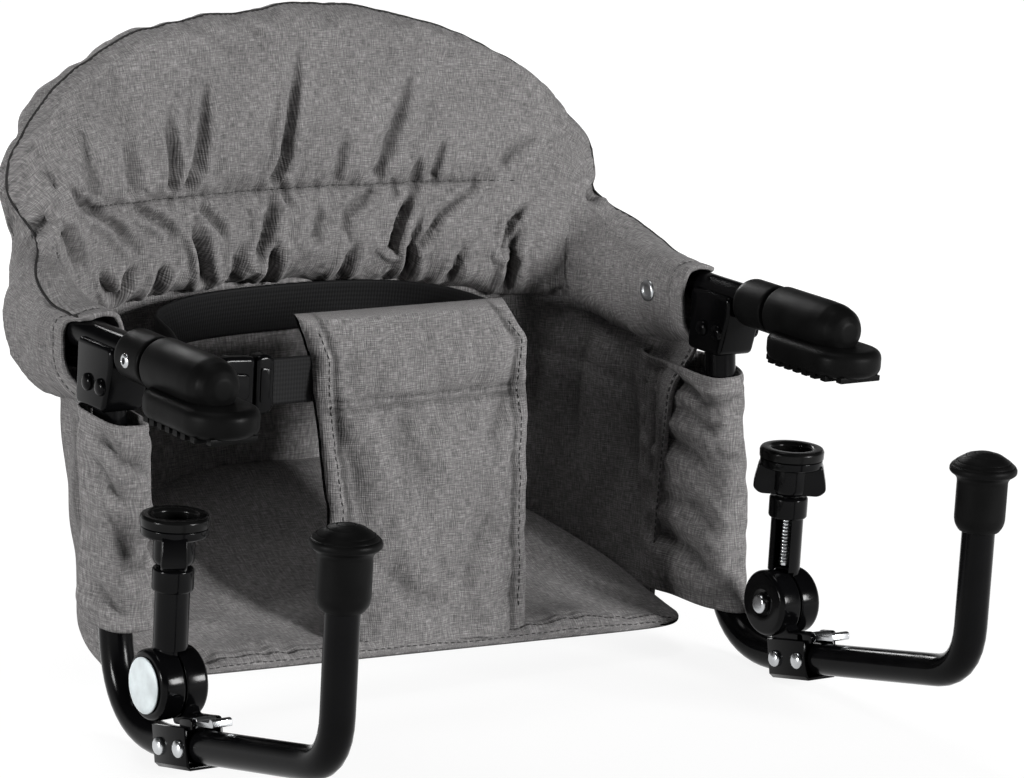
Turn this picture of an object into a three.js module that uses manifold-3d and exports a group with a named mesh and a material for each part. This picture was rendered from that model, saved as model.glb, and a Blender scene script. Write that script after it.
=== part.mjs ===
// A child's chair that hooks onto the edge of a table: a steel frame with two arms above the table top,
// two hooks below it with a fold-down screw clamp each, and a sewn fabric seat with a waist belt.
// Millimetres, +Z up, the chair faces -Y. The origin lies on the table top, midway between the arms.
import * as THREE from 'three';
import { mergeVertices } from 'three/addons/utils/BufferGeometryUtils.js';
import Module from 'manifold-3d';

const wasm = await Module();
wasm.setup();

// Fits and facets
const GAP = 0.4; // clearance between pieces that touch
const SIDES = 12; // facets round a tube or a rod
const FINE_SIDES = 16; // facets round a disc or a knob
const BOLT_SIDES = 8;

// Steel frame
const SIDE_X = 200; // from the middle to either side frame
const TUBE_D = 18;
const TUBE_WALL = 1.5;
const ARM_Z = 25; // arm tube axis above the table top
const ARM_FRONT_Y = -2; // front end of the arm tube, inside its grip
const HOOP_HALF_W = 180; // back hoop, tube axis
const HOOP_BASE_Z = 68;
const HOOP_RISE = 91;
const HOOK_Y = -135; // upright end of the hook
const HOOK_TOP_Z = -27;
const HOOK_CORNER_Z = -137; // front corner of the hook, tube axis
const RUN_DROP_DEG = 12; // the lower run drops this much towards the rear
const REAR_CORNER_Y = 82;
const LEG_TOP_Y = 106; // upper end of the rear leg, under the arm
const LEG_TOP_Z = 13;
const FRONT_BEND_R = 32;
const REAR_BEND_R = 55;

// Rubber plug on the hook's upright end
const PLUG_BODY_D = 27.5;
const PLUG_FLANGE_D = 36;
const PLUG_BODY_H = 31;
const PLUG_FLANGE_H = 6;
const PLUG_DOME_H = 6;
const PLUG_FLAT_D = 20; // flat middle of the domed top

// Arm grip and the ribbed pad under it
const GRIP_REAR_Y = 78;
const GRIP_SLOT_Y = 50; // groove that parts the grip's collar from its body
const GRIP_SLOT_W = 4;
const GRIP_TIP_Y = -14;
const GRIP_D = 30;
const GRIP_COLLAR_D = 28;
const PAD_Y = 8; // middle of the pad, one rib's pitch behind the origin
const PAD_LENGTH = 78;
const PAD_WIDTH = 42;
const PAD_H = 13;
const RIB_PITCH = 8;
const RIB_WIDTH = 4.5;
const RIB_DEPTH = 2;
const GRIP_SCREW_D = 8;
const GRIP_SCREW_Y = 64;

// Bracket that bolts the leg to the arm
const ARM_BRACKET_FRONT_Y = 82;
const ARM_BRACKET_REAR_Y = 119;
const ARM_BRACKET_TOP_Z = 27;
const ARM_BRACKET_BOTTOM_Z = -9;
const ARM_BRACKET_W = 25;
const ARM_BRACKET_TAPER = 7; // the front edge slopes back this much towards the bottom
const BOLT_D = 5;
const BOLT_HEAD_D = 9.5;
const BOLT_HEAD_H = 3;
const ARM_BOLT_FRONT_Y = 91;
const ARM_BOLT_Z = 5;

// Clamp bracket round the hook's lower run
const BRACKET_Y = 7.5; // middle of the bracket, measured along the chair
const BRACKET_LENGTH = 34;
const BRACKET_PLATE = 2;
const BRACKET_TOP = 11; // plate edge above the tube axis
const BRACKET_BOLT_SPACING = 20.6;

// Clamp hinge: an inner disc on the bracket and an outer disc that is part of the post
const PIVOT_Y = 30;
const PIVOT_Z = -140;
const HINGE_D = 38;
const HINGE_HALF_W = 14;
const HINGE_PIN_D = 8;
const HINGE_PIN_HEAD_D = 11;
const HINGE_PIN_HEAD_H = 3;
const HINGE_CAP_D = 30;
const HINGE_CAP_H = 2;

// Clamp post: a half-open column with a collar that holds the nut
const POST_D = 18.4;
const POST_H = 50; // from the hinge axis to the collar
const COLLAR_D = 22;
const COLLAR_H = 12.4;
const SCREW_D = 8;
const SCREW_BOTTOM = 22; // lower end of the screw above the hinge axis
const NUT_ACROSS_FLATS = 13;
const NUT_H = 6.5;

// Winged knob and the pressure ring on top of it
const KNOB_H = 21;
const KNOB_HUB_D = 22;
const KNOB_SPAN = 42;
const KNOB_WING_W = 14;
const KNOB_PLATE_D = 34;
const KNOB_PLATE_H = 5;
const KNOB_SOCKET = 9; // depth of the screw's end in the knob
const KNOB_TURN_LEFT_DEG = -29; // how the two knobs stand
const KNOB_TURN_RIGHT_DEG = 52;
const RING_D = 38;
const RING_HOLE_D = 24;
const RING_H = 6;

// Release lever in front of the hinge
const LEVER_LENGTH = 19;
const LEVER_W = 12;
const LEVER_T = 3;
const LEVER_BARREL_D = 6;
const LEVER_TRUNNION_D = 3;
const LEVER_FRONT = 18.5; // lever axis in front of the bracket's middle, along the run
const LEVER_RISE = 13; // lever axis above the run's axis
const LEVER_TIP_H = 5;
const LEVER_EAR_T = 2.3;

// Seat shell: plan half-ellipses with square-ish corners, from the seat's level up to the arms
const WALL_HALF_W = 185.8;
const WALL_T = 6;
const WALL_FRONT_Y = 112;
const WALL_LOW_CENTRE_Y = 120; // where the sides begin to round towards the back, at the seat's level
const WALL_LOW_DEPTH = 133;
const WALL_LOW_POWER = 2.2;
const WALL_HIGH_CENTRE_Y = 150; // the same at the arms' level
const WALL_HIGH_DEPTH = 110;
const WALL_HIGH_POWER = 2.6;
const WALL_TOP_Z = 30;
const WALL_FRONT_TOP_Z = -13; // the sides start lower, below the arm brackets
const WALL_FOLD = 1.5; // depth of the cloth's folds
const SEAT_FRONT_Y = 84;
const SEAT_FRONT_Z = -158; // top of the seat's front edge
const SEAT_RISE = 70; // the seat curves up this much towards the back
const SEAT_RISE_POWER = 2.2;
const SEAT_T = 12;
const SEAT_CORNER = 20; // front corners drawn in
const BOARD_T = 4;
const BOARD_FRONT_Y = 100;
const BOARD_REAR_Y = 178;
const BOARD_HALF_W = 140;

// Back cushion: an arched pad sewn round the hoop, with one stitched channel across it
const BACK_Y = 262; // middle of the back
const BACK_HALF_W = 202;
const BACK_CURVE = 36; // the sides stand this much further forward
const BACK_CURVE_POWER = 2.4;
const BACK_LEAN = 0.1;
const BACK_ARCH_Z = 70; // widest level of the arch, and the stitched channel
const BACK_ARCH_RISE = 104;
const BACK_BOTTOM_Z = 18;
const BACK_SIDE_LIFT = 40; // the lower edge rises this much at the sides
const BACK_FRONT_PUFF = 16;
const BACK_REAR_PUFF = 9;
const BACK_EDGE_T = 4;
const CHANNEL_DEPTH = 8;
const CHANNEL_WIDTH = 9;
const GATHER_PITCH = 44;
const GATHER_DEPTH = 2.5;

// Fabric sleeves on the arms and the legs
const ARM_SLEEVE_FRONT_Y = 120;
const ARM_SLEEVE_REAR_Z = 43; // the sleeve ends where the tube has climbed to this height
const ARM_SLEEVE_HALF_W = 12.5;
const ARM_SLEEVE_HALF_H = 23;
const ARM_SLEEVE_DROP = 10; // the sleeve hangs this far below the tube axis
const ARM_SLEEVE_REAR_HALF = 12.5; // half width and height of its rear end
const LEG_SLEEVE_TOP_Z = -10;
const LEG_SLEEVE_BOTTOM_Z = -140;
const LEG_SLEEVE_HALF_W = 13.8;
const LEG_SLEEVE_HALF_D = 27;
const LEG_SLEEVE_SETBACK = 8;
const LEG_SLEEVE_FOLD = 1.2;
const SNAP_D = 13;
const SNAP_T = 2;
const SNAP_Y = 152;
const SNAP_Z = 23;

// Panel between the legs, with a tunnel for the belt
const PANEL_BOTTOM_Y = 88;
const PANEL_TOP_Y = 128;
const PANEL_TOP_Z = 26;
const PANEL_HALF_W_BOTTOM = 62;
const PANEL_HALF_W_TOP = 66;
const PANEL_T = 11;
const PANEL_CORNER = 8;

// Waist belt and its buckle
const BELT_W = 28;
const BELT_T = 1.6;
const BELT_Z = -10; // middle of the belt at the buckle
const BELT_Y = 127.6;
const BELT_BACK_Z = 3; // middle of the belt along the back
const BELT_LEFT_X = -155; // widest places of the belt's loop
const BELT_RIGHT_X = 104;
const BELT_SIDE_Y = 180; // where the loop is widest
const BELT_CORNER_Y = 150; // where its sides turn towards the front
const BELT_REAR_Y = 245;
const BELT_LOOP_POWER = 2.5;
const BUCKLE_LEFT_X = -126;
const BUCKLE_SOCKET_L = 26;
const BUCKLE_HEAD_L = 12;
const BUCKLE_T = 11;
const BUCKLE_H = 34;
const TONGUE_L = 17;
const TONGUE_H = 20;
const TONGUE_T = 4.4;
const BUCKLE_STRAP_END_X = 10;
const BELT_END_X = 32;

const rad = THREE.MathUtils.degToRad;
const lerp = THREE.MathUtils.lerp;
const smooth = (x, a, b) => THREE.MathUtils.smoothstep(x, a, b);
const vec = (x, y, z) => new THREE.Vector3(x, y, z);
const TUBE_R = TUBE_D / 2;

// Joining and cutting of closed solids
function toSolid(geometry) {
  const bare = geometry.clone();
  bare.deleteAttribute('normal');
  bare.deleteAttribute('uv');
  const merged = mergeVertices(bare, 1e-4);
  return new wasm.Manifold(new wasm.Mesh({
    numProp: 3,
    vertProperties: new Float32Array(merged.attributes.position.array),
    triVerts: new Uint32Array(merged.index.array),
  }));
}

function toGeometry(solid) {
  const mesh = solid.getMesh();
  const geometry = new THREE.BufferGeometry();
  geometry.setAttribute('position', new THREE.BufferAttribute(mesh.vertProperties, 3));
  geometry.setIndex(new THREE.BufferAttribute(mesh.triVerts, 1));
  return geometry;
}

const join = (...shapes) => toGeometry(shapes.map(toSolid).reduce((all, next) => all.add(next)));
const cut = (shape, ...tools) => toGeometry(
  tools.map(toSolid).reduce((rest, tool) => rest.subtract(tool), toSolid(shape)));

// Basic shapes
function box([x0, x1], [y0, y1], [z0, z1]) {
  return new THREE.BoxGeometry(x1 - x0, y1 - y0, z1 - z0)
    .translate((x0 + x1) / 2, (y0 + y1) / 2, (z0 + z1) / 2);
}

function rodX(diameter, x0, x1, y = 0, z = 0, sides = SIDES) {
  return new THREE.CylinderGeometry(diameter / 2, diameter / 2, x1 - x0, sides)
    .rotateZ(Math.PI / 2).translate((x0 + x1) / 2, y, z);
}

function rodY(diameter, y0, y1, x = 0, z = 0, sides = SIDES) {
  return new THREE.CylinderGeometry(diameter / 2, diameter / 2, y1 - y0, sides)
    .translate(x, (y0 + y1) / 2, z);
}

function rodZ(diameter, z0, z1, x = 0, y = 0, sides = SIDES) {
  return new THREE.CylinderGeometry(diameter / 2, diameter / 2, z1 - z0, sides)
    .rotateX(Math.PI / 2).translate(x, y, (z0 + z1) / 2);
}

const hexZ = (flats, z0, z1) => rodZ(flats / Math.cos(Math.PI / 6), z0, z1, 0, 0, 6);

// A shape turned about the vertical axis from [radius, height] points, closed on the axis
function turnedZ(points, sides = FINE_SIDES) {
  return new THREE.LatheGeometry(points.map(([r, z]) => new THREE.Vector2(r, z)), sides)
    .rotateX(Math.PI / 2);
}

function extrudedX(points, x0, x1) {
  const shape = new THREE.Shape(points.map(([y, z]) => new THREE.Vector2(y, z)));
  return new THREE.ExtrudeGeometry(shape, { depth: x1 - x0, bevelEnabled: false })
    .rotateY(Math.PI / 2).rotateX(Math.PI / 2).translate(x0, 0, 0);
}

// A round tube along a path; without a bore it is a solid bar
function tube(path, diameter, bore, steps) {
  const section = new THREE.Shape();
  section.absarc(0, 0, diameter / 2, 0, 2 * Math.PI);
  if (bore > 0) {
    const hole = new THREE.Path();
    hole.absarc(0, 0, bore / 2, 0, 2 * Math.PI, true);
    section.holes.push(hole);
  }
  return new THREE.ExtrudeGeometry(section, { extrudePath: path, steps, curveSegments: SIDES / 2 });
}

// A closed skin over rings of points; point i of a ring lies opposite point n - 1 - i
function loft(rings) {
  const n = rings[0].length;
  const points = rings.flat();
  const faces = [];
  for (let r = 0; r + 1 < rings.length; r += 1) {
    for (let i = 0; i < n; i += 1) {
      const a = r * n + i;
      const b = r * n + (i + 1) % n;
      faces.push(a, b, b + n, a, b + n, a + n);
    }
  }
  const last = (rings.length - 1) * n;
  for (let i = 0; i + 1 < n / 2; i += 1) {
    const j = n - 1 - i;
    faces.push(i, j, j - 1, i, j - 1, i + 1);
    faces.push(last + i, last + j - 1, last + j, last + i, last + i + 1, last + j - 1);
  }
  const geometry = new THREE.BufferGeometry();
  const values = points.flatMap((p) => [p.x, p.y, p.z]);
  geometry.setAttribute('position', new THREE.Float32BufferAttribute(values, 3));
  geometry.setIndex(faces);
  return signedVolume(geometry) < 0 ? reversed(geometry) : geometry;
}

function signedVolume(geometry) {
  const { position } = geometry.attributes;
  const corners = geometry.index.array;
  const at = (i) => new THREE.Vector3().fromBufferAttribute(position, corners[i]);
  let total = 0;
  for (let i = 0; i < geometry.index.count; i += 3) {
    total += at(i).dot(at(i + 1).cross(at(i + 2)));
  }
  return total / 6;
}

function reversed(geometry) {
  const turned = geometry.index ? geometry.clone() : mergeVertices(geometry);
  const index = turned.index.array;
  for (let i = 0; i < index.length; i += 3) {
    [index[i], index[i + 1]] = [index[i + 1], index[i]];
  }
  return turned;
}

// An upright oval ring, counted so that opposite points pair up for the end faces
function oval(centre, halfA, halfB, alongA, alongB, count) {
  return Array.from({ length: count }, (_, i) => {
    const angle = (2 * Math.PI * (i + 0.5)) / count;
    return centre.clone()
      .addScaledVector(alongA, halfA * Math.cos(angle))
      .addScaledVector(alongB, halfB * Math.sin(angle));
  });
}

// Materials
function finish(color, roughness, metalness = 0) {
  return new THREE.MeshStandardMaterial({ color, roughness, metalness });
}
const blackSteel = () => finish(0x141414, 0.3, 0.4);
const blackPlastic = () => finish(0x101010, 0.35);
const rubber = () => finish(0x1e2121, 0.75);
const softGrip = () => finish(0x232626, 0.6);
const zinc = () => finish(0xb9bcbe, 0.3, 1);
const paleCap = () => finish(0xdfe6e8, 0.4);
const cloth = () => finish(0x7c7876, 0.95);
const webbing = () => finish(0x0d0d0d, 0.85);
const ply = () => finish(0xb08d5e, 0.7);

const chair = new THREE.Group();

function place(group, name, geometry, material) {
  const mesh = new THREE.Mesh(geometry, material);
  mesh.name = name;
  group.add(mesh);
  return mesh;
}

// A smooth path that is sampled evenly from knot to knot, so that long straight stretches take few steps
class KnotPath extends THREE.CatmullRomCurve3 {
  getPointAt(u) {
    return this.getPoint(u);
  }

  getTangentAt(u) {
    return this.getTangent(u);
  }
}

// Straight lines through the corners in the side's plane, each corner rounded by its bend radius;
// a line takes one step along the path and a bend takes several
const BEND_STEPS = 6;
class BentPath extends THREE.Curve {
  constructor(corners) {
    super();
    const points = corners.map(([y, z]) => vec(0, y, z));
    this.pieces = [];
    let from = points[0];
    for (let i = 1; i + 1 < points.length; i += 1) {
      const before = points[i - 1].clone().sub(points[i]).normalize();
      const after = points[i + 1].clone().sub(points[i]).normalize();
      const reach = corners[i][2] / Math.tan(before.angleTo(after) / 2);
      const start = points[i].clone().addScaledVector(before, reach);
      const end = points[i].clone().addScaledVector(after, reach);
      this.addPiece(new THREE.LineCurve3(from, start), 1);
      this.addPiece(new THREE.QuadraticBezierCurve3(start, points[i], end), BEND_STEPS);
      from = end;
    }
    this.addPiece(new THREE.LineCurve3(from, points[points.length - 1]), 1);
    this.steps = this.pieces.length;
  }

  addPiece(curve, steps) {
    for (let i = 0; i < steps; i += 1) {
      this.pieces.push({ curve, from: i / steps, to: (i + 1) / steps });
    }
  }

  locate(u) {
    const along = Math.min(Math.max(u, 0), 1) * this.pieces.length;
    const index = Math.min(Math.floor(along), this.pieces.length - 1);
    const piece = this.pieces[index];
    return { curve: piece.curve, at: lerp(piece.from, piece.to, along - index) };
  }

  getPoint(u) {
    const { curve, at } = this.locate(u);
    return curve.getPoint(at);
  }

  getTangent(u) {
    const { curve, at } = this.locate(u);
    return curve.getTangent(at);
  }

  getPointAt(u) {
    return this.getPoint(u);
  }

  getTangentAt(u) {
    return this.getTangent(u);
  }
}

// Paths of the two kinds of tube
const backY = (x, z) => BACK_Y - BACK_CURVE * Math.min(Math.abs(x) / BACK_HALF_W, 1) ** BACK_CURVE_POWER
  + BACK_LEAN * (z - BACK_ARCH_Z);

function hoopPoint(angle) {
  const x = HOOP_HALF_W * Math.cos(angle);
  const z = HOOP_BASE_Z + HOOP_RISE * Math.sin(angle);
  return vec(x, backY(x, z), z);
}

// Shares of the way inwards, back and up along the arm's sweep from its straight part to the hoop's foot
const ARM_SWEEP = [[0.05, 0.38, 0.04], [0.3, 0.7, 0.19], [0.7, 0.92, 0.5]];
function upperPath() {
  const foot = hoopPoint(0);
  const sweepStart = vec(SIDE_X, ARM_SLEEVE_FRONT_Y, ARM_Z);
  const arm = [
    vec(SIDE_X, ARM_FRONT_Y, ARM_Z),
    vec(SIDE_X, GRIP_REAR_Y, ARM_Z),
    sweepStart,
    ...ARM_SWEEP.map(([inwards, back, up]) => vec(lerp(sweepStart.x, foot.x, inwards),
      lerp(sweepStart.y, foot.y, back), lerp(sweepStart.z, foot.z, up))),
  ];
  const arch = Array.from({ length: 13 }, (_, i) => hoopPoint((Math.PI * i) / 12));
  const otherArm = arm.map((p) => vec(-p.x, p.y, p.z)).reverse();
  return new KnotPath([...arm, ...arch, ...otherArm], false, 'centripetal');
}

const RUN_SLOPE = Math.tan(rad(RUN_DROP_DEG));
const REAR_CORNER_Z = HOOK_CORNER_Z - RUN_SLOPE * (REAR_CORNER_Y - HOOK_Y);
const HOOK_CORNERS = [
  [HOOK_Y, HOOK_TOP_Z],
  [HOOK_Y, HOOK_CORNER_Z, FRONT_BEND_R],
  [REAR_CORNER_Y, REAR_CORNER_Z, REAR_BEND_R],
  [LEG_TOP_Y, LEG_TOP_Z],
];
const legY = (z) => lerp(REAR_CORNER_Y, LEG_TOP_Y, (z - REAR_CORNER_Z) / (LEG_TOP_Z - REAR_CORNER_Z));
const runZ = (y) => HOOK_CORNER_Z - RUN_SLOPE * (y - HOOK_Y);
const UPPER_STEPS = 36;
function hookBar(diameter, bore = 0) {
  const path = new BentPath(HOOK_CORNERS);
  return tube(path, diameter, bore, path.steps);
}
const upperBar = (diameter, bore = 0) => tube(upperPath(), diameter, bore, UPPER_STEPS);

// A bolt with a rounded head at either end, through a width of w about x = 0
function throughBolt(w, y, z) {
  const inner = w / 2 + GAP;
  const r = BOLT_HEAD_D / 2;
  const dome = [[0, 0], [r, 0], [r, BOLT_HEAD_H * 0.3], [r * 0.6, BOLT_HEAD_H], [0, BOLT_HEAD_H]];
  const head = () => turnedZ(dome, BOLT_SIDES).rotateY(Math.PI / 2);
  const outerHead = head().translate(inner, 0, 0);
  const innerHead = head().rotateY(Math.PI).translate(-inner, 0, 0);
  const overlap = BOLT_HEAD_H / 4;
  const shank = rodX(BOLT_D, -inner - overlap, inner + overlap, 0, 0, BOLT_SIDES);
  return join(shank, outerHead, innerHead).translate(0, y, z);
}
const boltHole = (w, y, z) => rodX(BOLT_D + 2 * GAP, -w / 2 - 1, w / 2 + 1, y, z, BOLT_SIDES);

// Bracket places along the lower run, in the run's own slanted frame: y along the run, z square to it
const BRACKET_W = TUBE_D + 2 * GAP + 2 * BRACKET_PLATE;
const BRACKET_BOLTS = [-BRACKET_BOLT_SPACING / 2, BRACKET_BOLT_SPACING / 2];
function runFrame(geometry) {
  return geometry.rotateX(-rad(RUN_DROP_DEG)).translate(0, BRACKET_Y, runZ(BRACKET_Y));
}
function intoRun(y, z) {
  const point = vec(0, y - BRACKET_Y, z - runZ(BRACKET_Y)).applyAxisAngle(vec(1, 0, 0), rad(RUN_DROP_DEG));
  return [point.y, point.z];
}

// Hook tube with the holes for its bolts
const REAR_BOLT_Y = legY(ARM_BOLT_Z);
function hookTube() {
  const holes = BRACKET_BOLTS.map((y) => runFrame(boltHole(TUBE_D, y, 0)));
  return cut(hookBar(TUBE_D, TUBE_D - 2 * TUBE_WALL), ...holes, boltHole(TUBE_D, REAR_BOLT_Y, ARM_BOLT_Z));
}

function hookPlug() {
  const top = HOOK_TOP_Z + GAP + PLUG_FLANGE_H + PLUG_DOME_H;
  const flangeTop = top - PLUG_DOME_H;
  const flangeBottom = flangeTop - PLUG_FLANGE_H;
  const bottom = flangeBottom - PLUG_BODY_H;
  const r = PLUG_BODY_D / 2;
  const flange = PLUG_FLANGE_D / 2;
  const skin = turnedZ([
    [0, bottom], [r * 0.86, bottom], [r, bottom + 3], [r, flangeBottom], [flange * 0.96, flangeBottom + 1],
    [flange, flangeBottom + PLUG_FLANGE_H / 2], [flange * 0.96, flangeTop],
    [lerp(flange, PLUG_FLAT_D / 2, 0.55), top - 0.28 * PLUG_DOME_H], [PLUG_FLAT_D / 2, top], [0, top],
  ]);
  const bore = rodZ(TUBE_D + 2 * GAP, bottom - 1, HOOK_TOP_Z + GAP);
  return cut(skin, bore).translate(0, HOOK_Y, 0);
}

// Arm grip: an oval sleeve closed at the front, flat underneath where the pad fits
function armGrip() {
  const r = GRIP_D / 2;
  const stations = [
    [GRIP_TIP_Y, 0.35], [GRIP_TIP_Y + 3, 0.7], [GRIP_TIP_Y + 10, 0.93], [GRIP_TIP_Y + 24, 1],
    [GRIP_SLOT_Y - GRIP_SLOT_W / 2, 1], [GRIP_SLOT_Y - GRIP_SLOT_W / 2, 0.84],
    [GRIP_SLOT_Y + GRIP_SLOT_W / 2, 0.84], [GRIP_SLOT_Y + GRIP_SLOT_W / 2, GRIP_COLLAR_D / GRIP_D],
    [GRIP_REAR_Y - 2, GRIP_COLLAR_D / GRIP_D], [GRIP_REAR_Y, GRIP_COLLAR_D / GRIP_D - 0.06],
  ];
  const round = (y, k) => oval(vec(0, y, ARM_Z), r * k, r * k, vec(1, 0, 0), vec(0, 0, 1), FINE_SIDES);
  const rings = stations.map(([y, k]) => round(y, k));
  const bore = rodY(TUBE_D + 2 * GAP, ARM_FRONT_Y - GAP, GRIP_REAR_Y + 1, 0, ARM_Z);
  const flatRear = GRIP_SLOT_Y + GRIP_SLOT_W / 2;
  const flat = box([-r - 1, r + 1], [GRIP_TIP_Y - 1, flatRear], [ARM_Z - r - 1, PAD_H + GAP]);
  const screwSeat = rodX(GRIP_SCREW_D + 2 * GAP, TUBE_R + 2 * GAP, r + 1, GRIP_SCREW_Y, ARM_Z);
  return cut(loft(rings), bore, flat, screwSeat);
}

function armPad() {
  const half = PAD_LENGTH / 2;
  const r = PAD_WIDTH / 2;
  const outline = new THREE.Shape();
  outline.absarc(0, half - r, r, 0, Math.PI);
  outline.absarc(0, r - half, r, Math.PI, 2 * Math.PI);
  const body = new THREE.ExtrudeGeometry(outline, {
    depth: PAD_H, bevelEnabled: false, curveSegments: 10,
  });
  const grooveW = RIB_PITCH - RIB_WIDTH;
  const count = Math.floor((half - RIB_WIDTH / 2) / RIB_PITCH);
  const grooves = [];
  for (let i = -count; i < count; i += 1) {
    const y = (i + 0.5) * RIB_PITCH;
    grooves.push(box([-r - 1, r + 1], [y - grooveW / 2, y + grooveW / 2], [-1, RIB_DEPTH]));
  }
  return cut(body, ...grooves).translate(0, PAD_Y, 0);
}

function gripScrew() {
  const seat = TUBE_R + 2 * GAP;
  const out = GRIP_D / 2;
  const r = GRIP_SCREW_D / 2;
  return turnedZ([[0, seat], [r, seat], [r, out - 1], [r * 0.7, out], [0, out]], SIDES)
    .rotateY(Math.PI / 2).translate(0, GRIP_SCREW_Y, ARM_Z);
}

function armBracket() {
  const block = extrudedX([
    [ARM_BRACKET_FRONT_Y, ARM_BRACKET_TOP_Z], [ARM_BRACKET_FRONT_Y, ARM_Z - TUBE_R],
    [ARM_BRACKET_FRONT_Y + ARM_BRACKET_TAPER, ARM_BRACKET_BOTTOM_Z],
    [ARM_BRACKET_REAR_Y, ARM_BRACKET_BOTTOM_Z], [ARM_BRACKET_REAR_Y, ARM_BRACKET_TOP_Z],
  ], -ARM_BRACKET_W / 2, ARM_BRACKET_W / 2);
  const armBore = rodY(TUBE_D + 2 * GAP, ARM_BRACKET_FRONT_Y - 1, ARM_BRACKET_REAR_Y + 1, 0, ARM_Z);
  return cut(block, armBore, hookBar(TUBE_D + 2 * GAP),
    boltHole(ARM_BRACKET_W, ARM_BOLT_FRONT_Y, ARM_BOLT_Z), boltHole(ARM_BRACKET_W, REAR_BOLT_Y, ARM_BOLT_Z));
}

// Folded steel bracket: two plates and a floor under the tube
function clampBracket() {
  const inner = TUBE_R + GAP;
  const outer = inner + BRACKET_PLATE;
  const half = BRACKET_LENGTH / 2;
  const block = box([-outer, outer], [-half, half], [-outer, BRACKET_TOP]);
  const room = box([-inner, inner], [-half - 1, half + 1], [-inner, BRACKET_TOP + 1]);
  return runFrame(cut(block, room, ...BRACKET_BOLTS.map((y) => boltHole(BRACKET_W, y, 0))));
}

// Inner half of the hinge, with a foot between the bracket's plates and two ears for the lever
function hingeBase() {
  const [pivotRunY, pivotRunZ] = intoRun(PIVOT_Y, PIVOT_Z);
  const disc = rodX(HINGE_D, -HINGE_HALF_W, -GAP, pivotRunY, pivotRunZ, FINE_SIDES);
  const footTop = pivotRunZ;
  const half = TUBE_R;
  const low = TUBE_R + GAP;
  const shoulder = pivotRunY - Math.sqrt((HINGE_D ** 2 - POST_D ** 2) / 4) + GAP; // room for the folded post
  const block = box([-half, half], [-BRACKET_LENGTH / 2 + 2, pivotRunY], [low, footTop]);
  const foldRoom = box([-half - 1, half + 1], [-BRACKET_LENGTH, shoulder],
    [LEVER_RISE + LEVER_BARREL_D / 2, footTop + 1]);
  const foot = cut(block, foldRoom);
  const ear = (x) => box([x, x + LEVER_EAR_T],
    [-LEVER_FRONT - LEVER_BARREL_D / 2, -BRACKET_LENGTH / 2 + 3], [low, LEVER_RISE + LEVER_BARREL_D / 2]);
  const sweep = rodX(HINGE_D + 3 * GAP, -GAP, half + 1, pivotRunY, pivotRunZ, FINE_SIDES);
  const pinHole = rodX(HINGE_PIN_D + 2 * GAP, -HINGE_HALF_W - 1, half + 1, pivotRunY, pivotRunZ);
  const trunnionHole = rodX(LEVER_TRUNNION_D + 2 * GAP, -half - 1, half + 1, -LEVER_FRONT, LEVER_RISE);
  const leverRoom = box([-LEVER_W / 2 - GAP, LEVER_W / 2 + GAP],
    [-LEVER_FRONT - LEVER_BARREL_D, -LEVER_FRONT + LEVER_BARREL_D / 2 + GAP], [low - 1, footTop + 1]);
  const whole = join(disc, foot, ear(-half), ear(half - LEVER_EAR_T));
  return runFrame(cut(whole, sweep, pinHole, trunnionHole, leverRoom));
}

function hingePin() {
  const shank = rodX(HINGE_PIN_D, -HINGE_HALF_W - GAP - HINGE_PIN_HEAD_H / 2, HINGE_HALF_W - 1);
  const head = rodX(HINGE_PIN_HEAD_D, -HINGE_HALF_W - GAP - HINGE_PIN_HEAD_H, -HINGE_HALF_W - GAP);
  return join(shank, head);
}

function hingeCap() {
  const r = HINGE_CAP_D / 2;
  const from = HINGE_HALF_W + GAP;
  return turnedZ([[0, from], [r, from], [r, from + HINGE_CAP_H * 0.5], [r * 0.85, from + HINGE_CAP_H],
    [0, from + HINGE_CAP_H]]).rotateY(Math.PI / 2);
}

// Post in the hinge's frame: outer hinge disc, column open on its inner side, collar with the nut's pocket
const COLLAR_TOP = POST_H + COLLAR_H;
const NUT_BASE = POST_H + 1.5;
function clampPost() {
  const disc = rodX(HINGE_D, GAP, HINGE_HALF_W, 0, 0, FINE_SIDES);
  const column = rodZ(POST_D, 0, POST_H + 1);
  const collar = rodZ(COLLAR_D, POST_H, COLLAR_TOP, 0, 0, FINE_SIDES);
  const baseRoom = rodX(HINGE_D + 3 * GAP, -HINGE_HALF_W - 2, GAP, 0, 0, FINE_SIDES);
  const slot = box([-POST_D, 0], [-SCREW_D / 2 - 2 * GAP, SCREW_D / 2 + 2 * GAP], [HINGE_D / 2, POST_H]);
  const bore = rodZ(SCREW_D + 4 * GAP, HINGE_D / 2, COLLAR_TOP + 1);
  const pocket = hexZ(NUT_ACROSS_FLATS + 2 * GAP, POST_H - 1, NUT_BASE + NUT_H + GAP);
  const pinHole = rodX(HINGE_PIN_D + 2 * GAP, -1, HINGE_HALF_W + 1);
  return cut(join(disc, column, collar), baseRoom, slot, bore, pocket, pinHole);
}

function screwNut() {
  const hex = hexZ(NUT_ACROSS_FLATS, NUT_BASE, NUT_BASE + NUT_H);
  return cut(hex, rodZ(SCREW_D + 2 * GAP, 0, COLLAR_TOP));
}

const KNOB_BASE = COLLAR_TOP + 2 * GAP;
const KNOB_TOP = KNOB_BASE + KNOB_H;
const RING_TOP = KNOB_TOP + GAP + RING_H;
const clampScrew = () => rodZ(SCREW_D, SCREW_BOTTOM, KNOB_BASE + KNOB_SOCKET);

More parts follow.
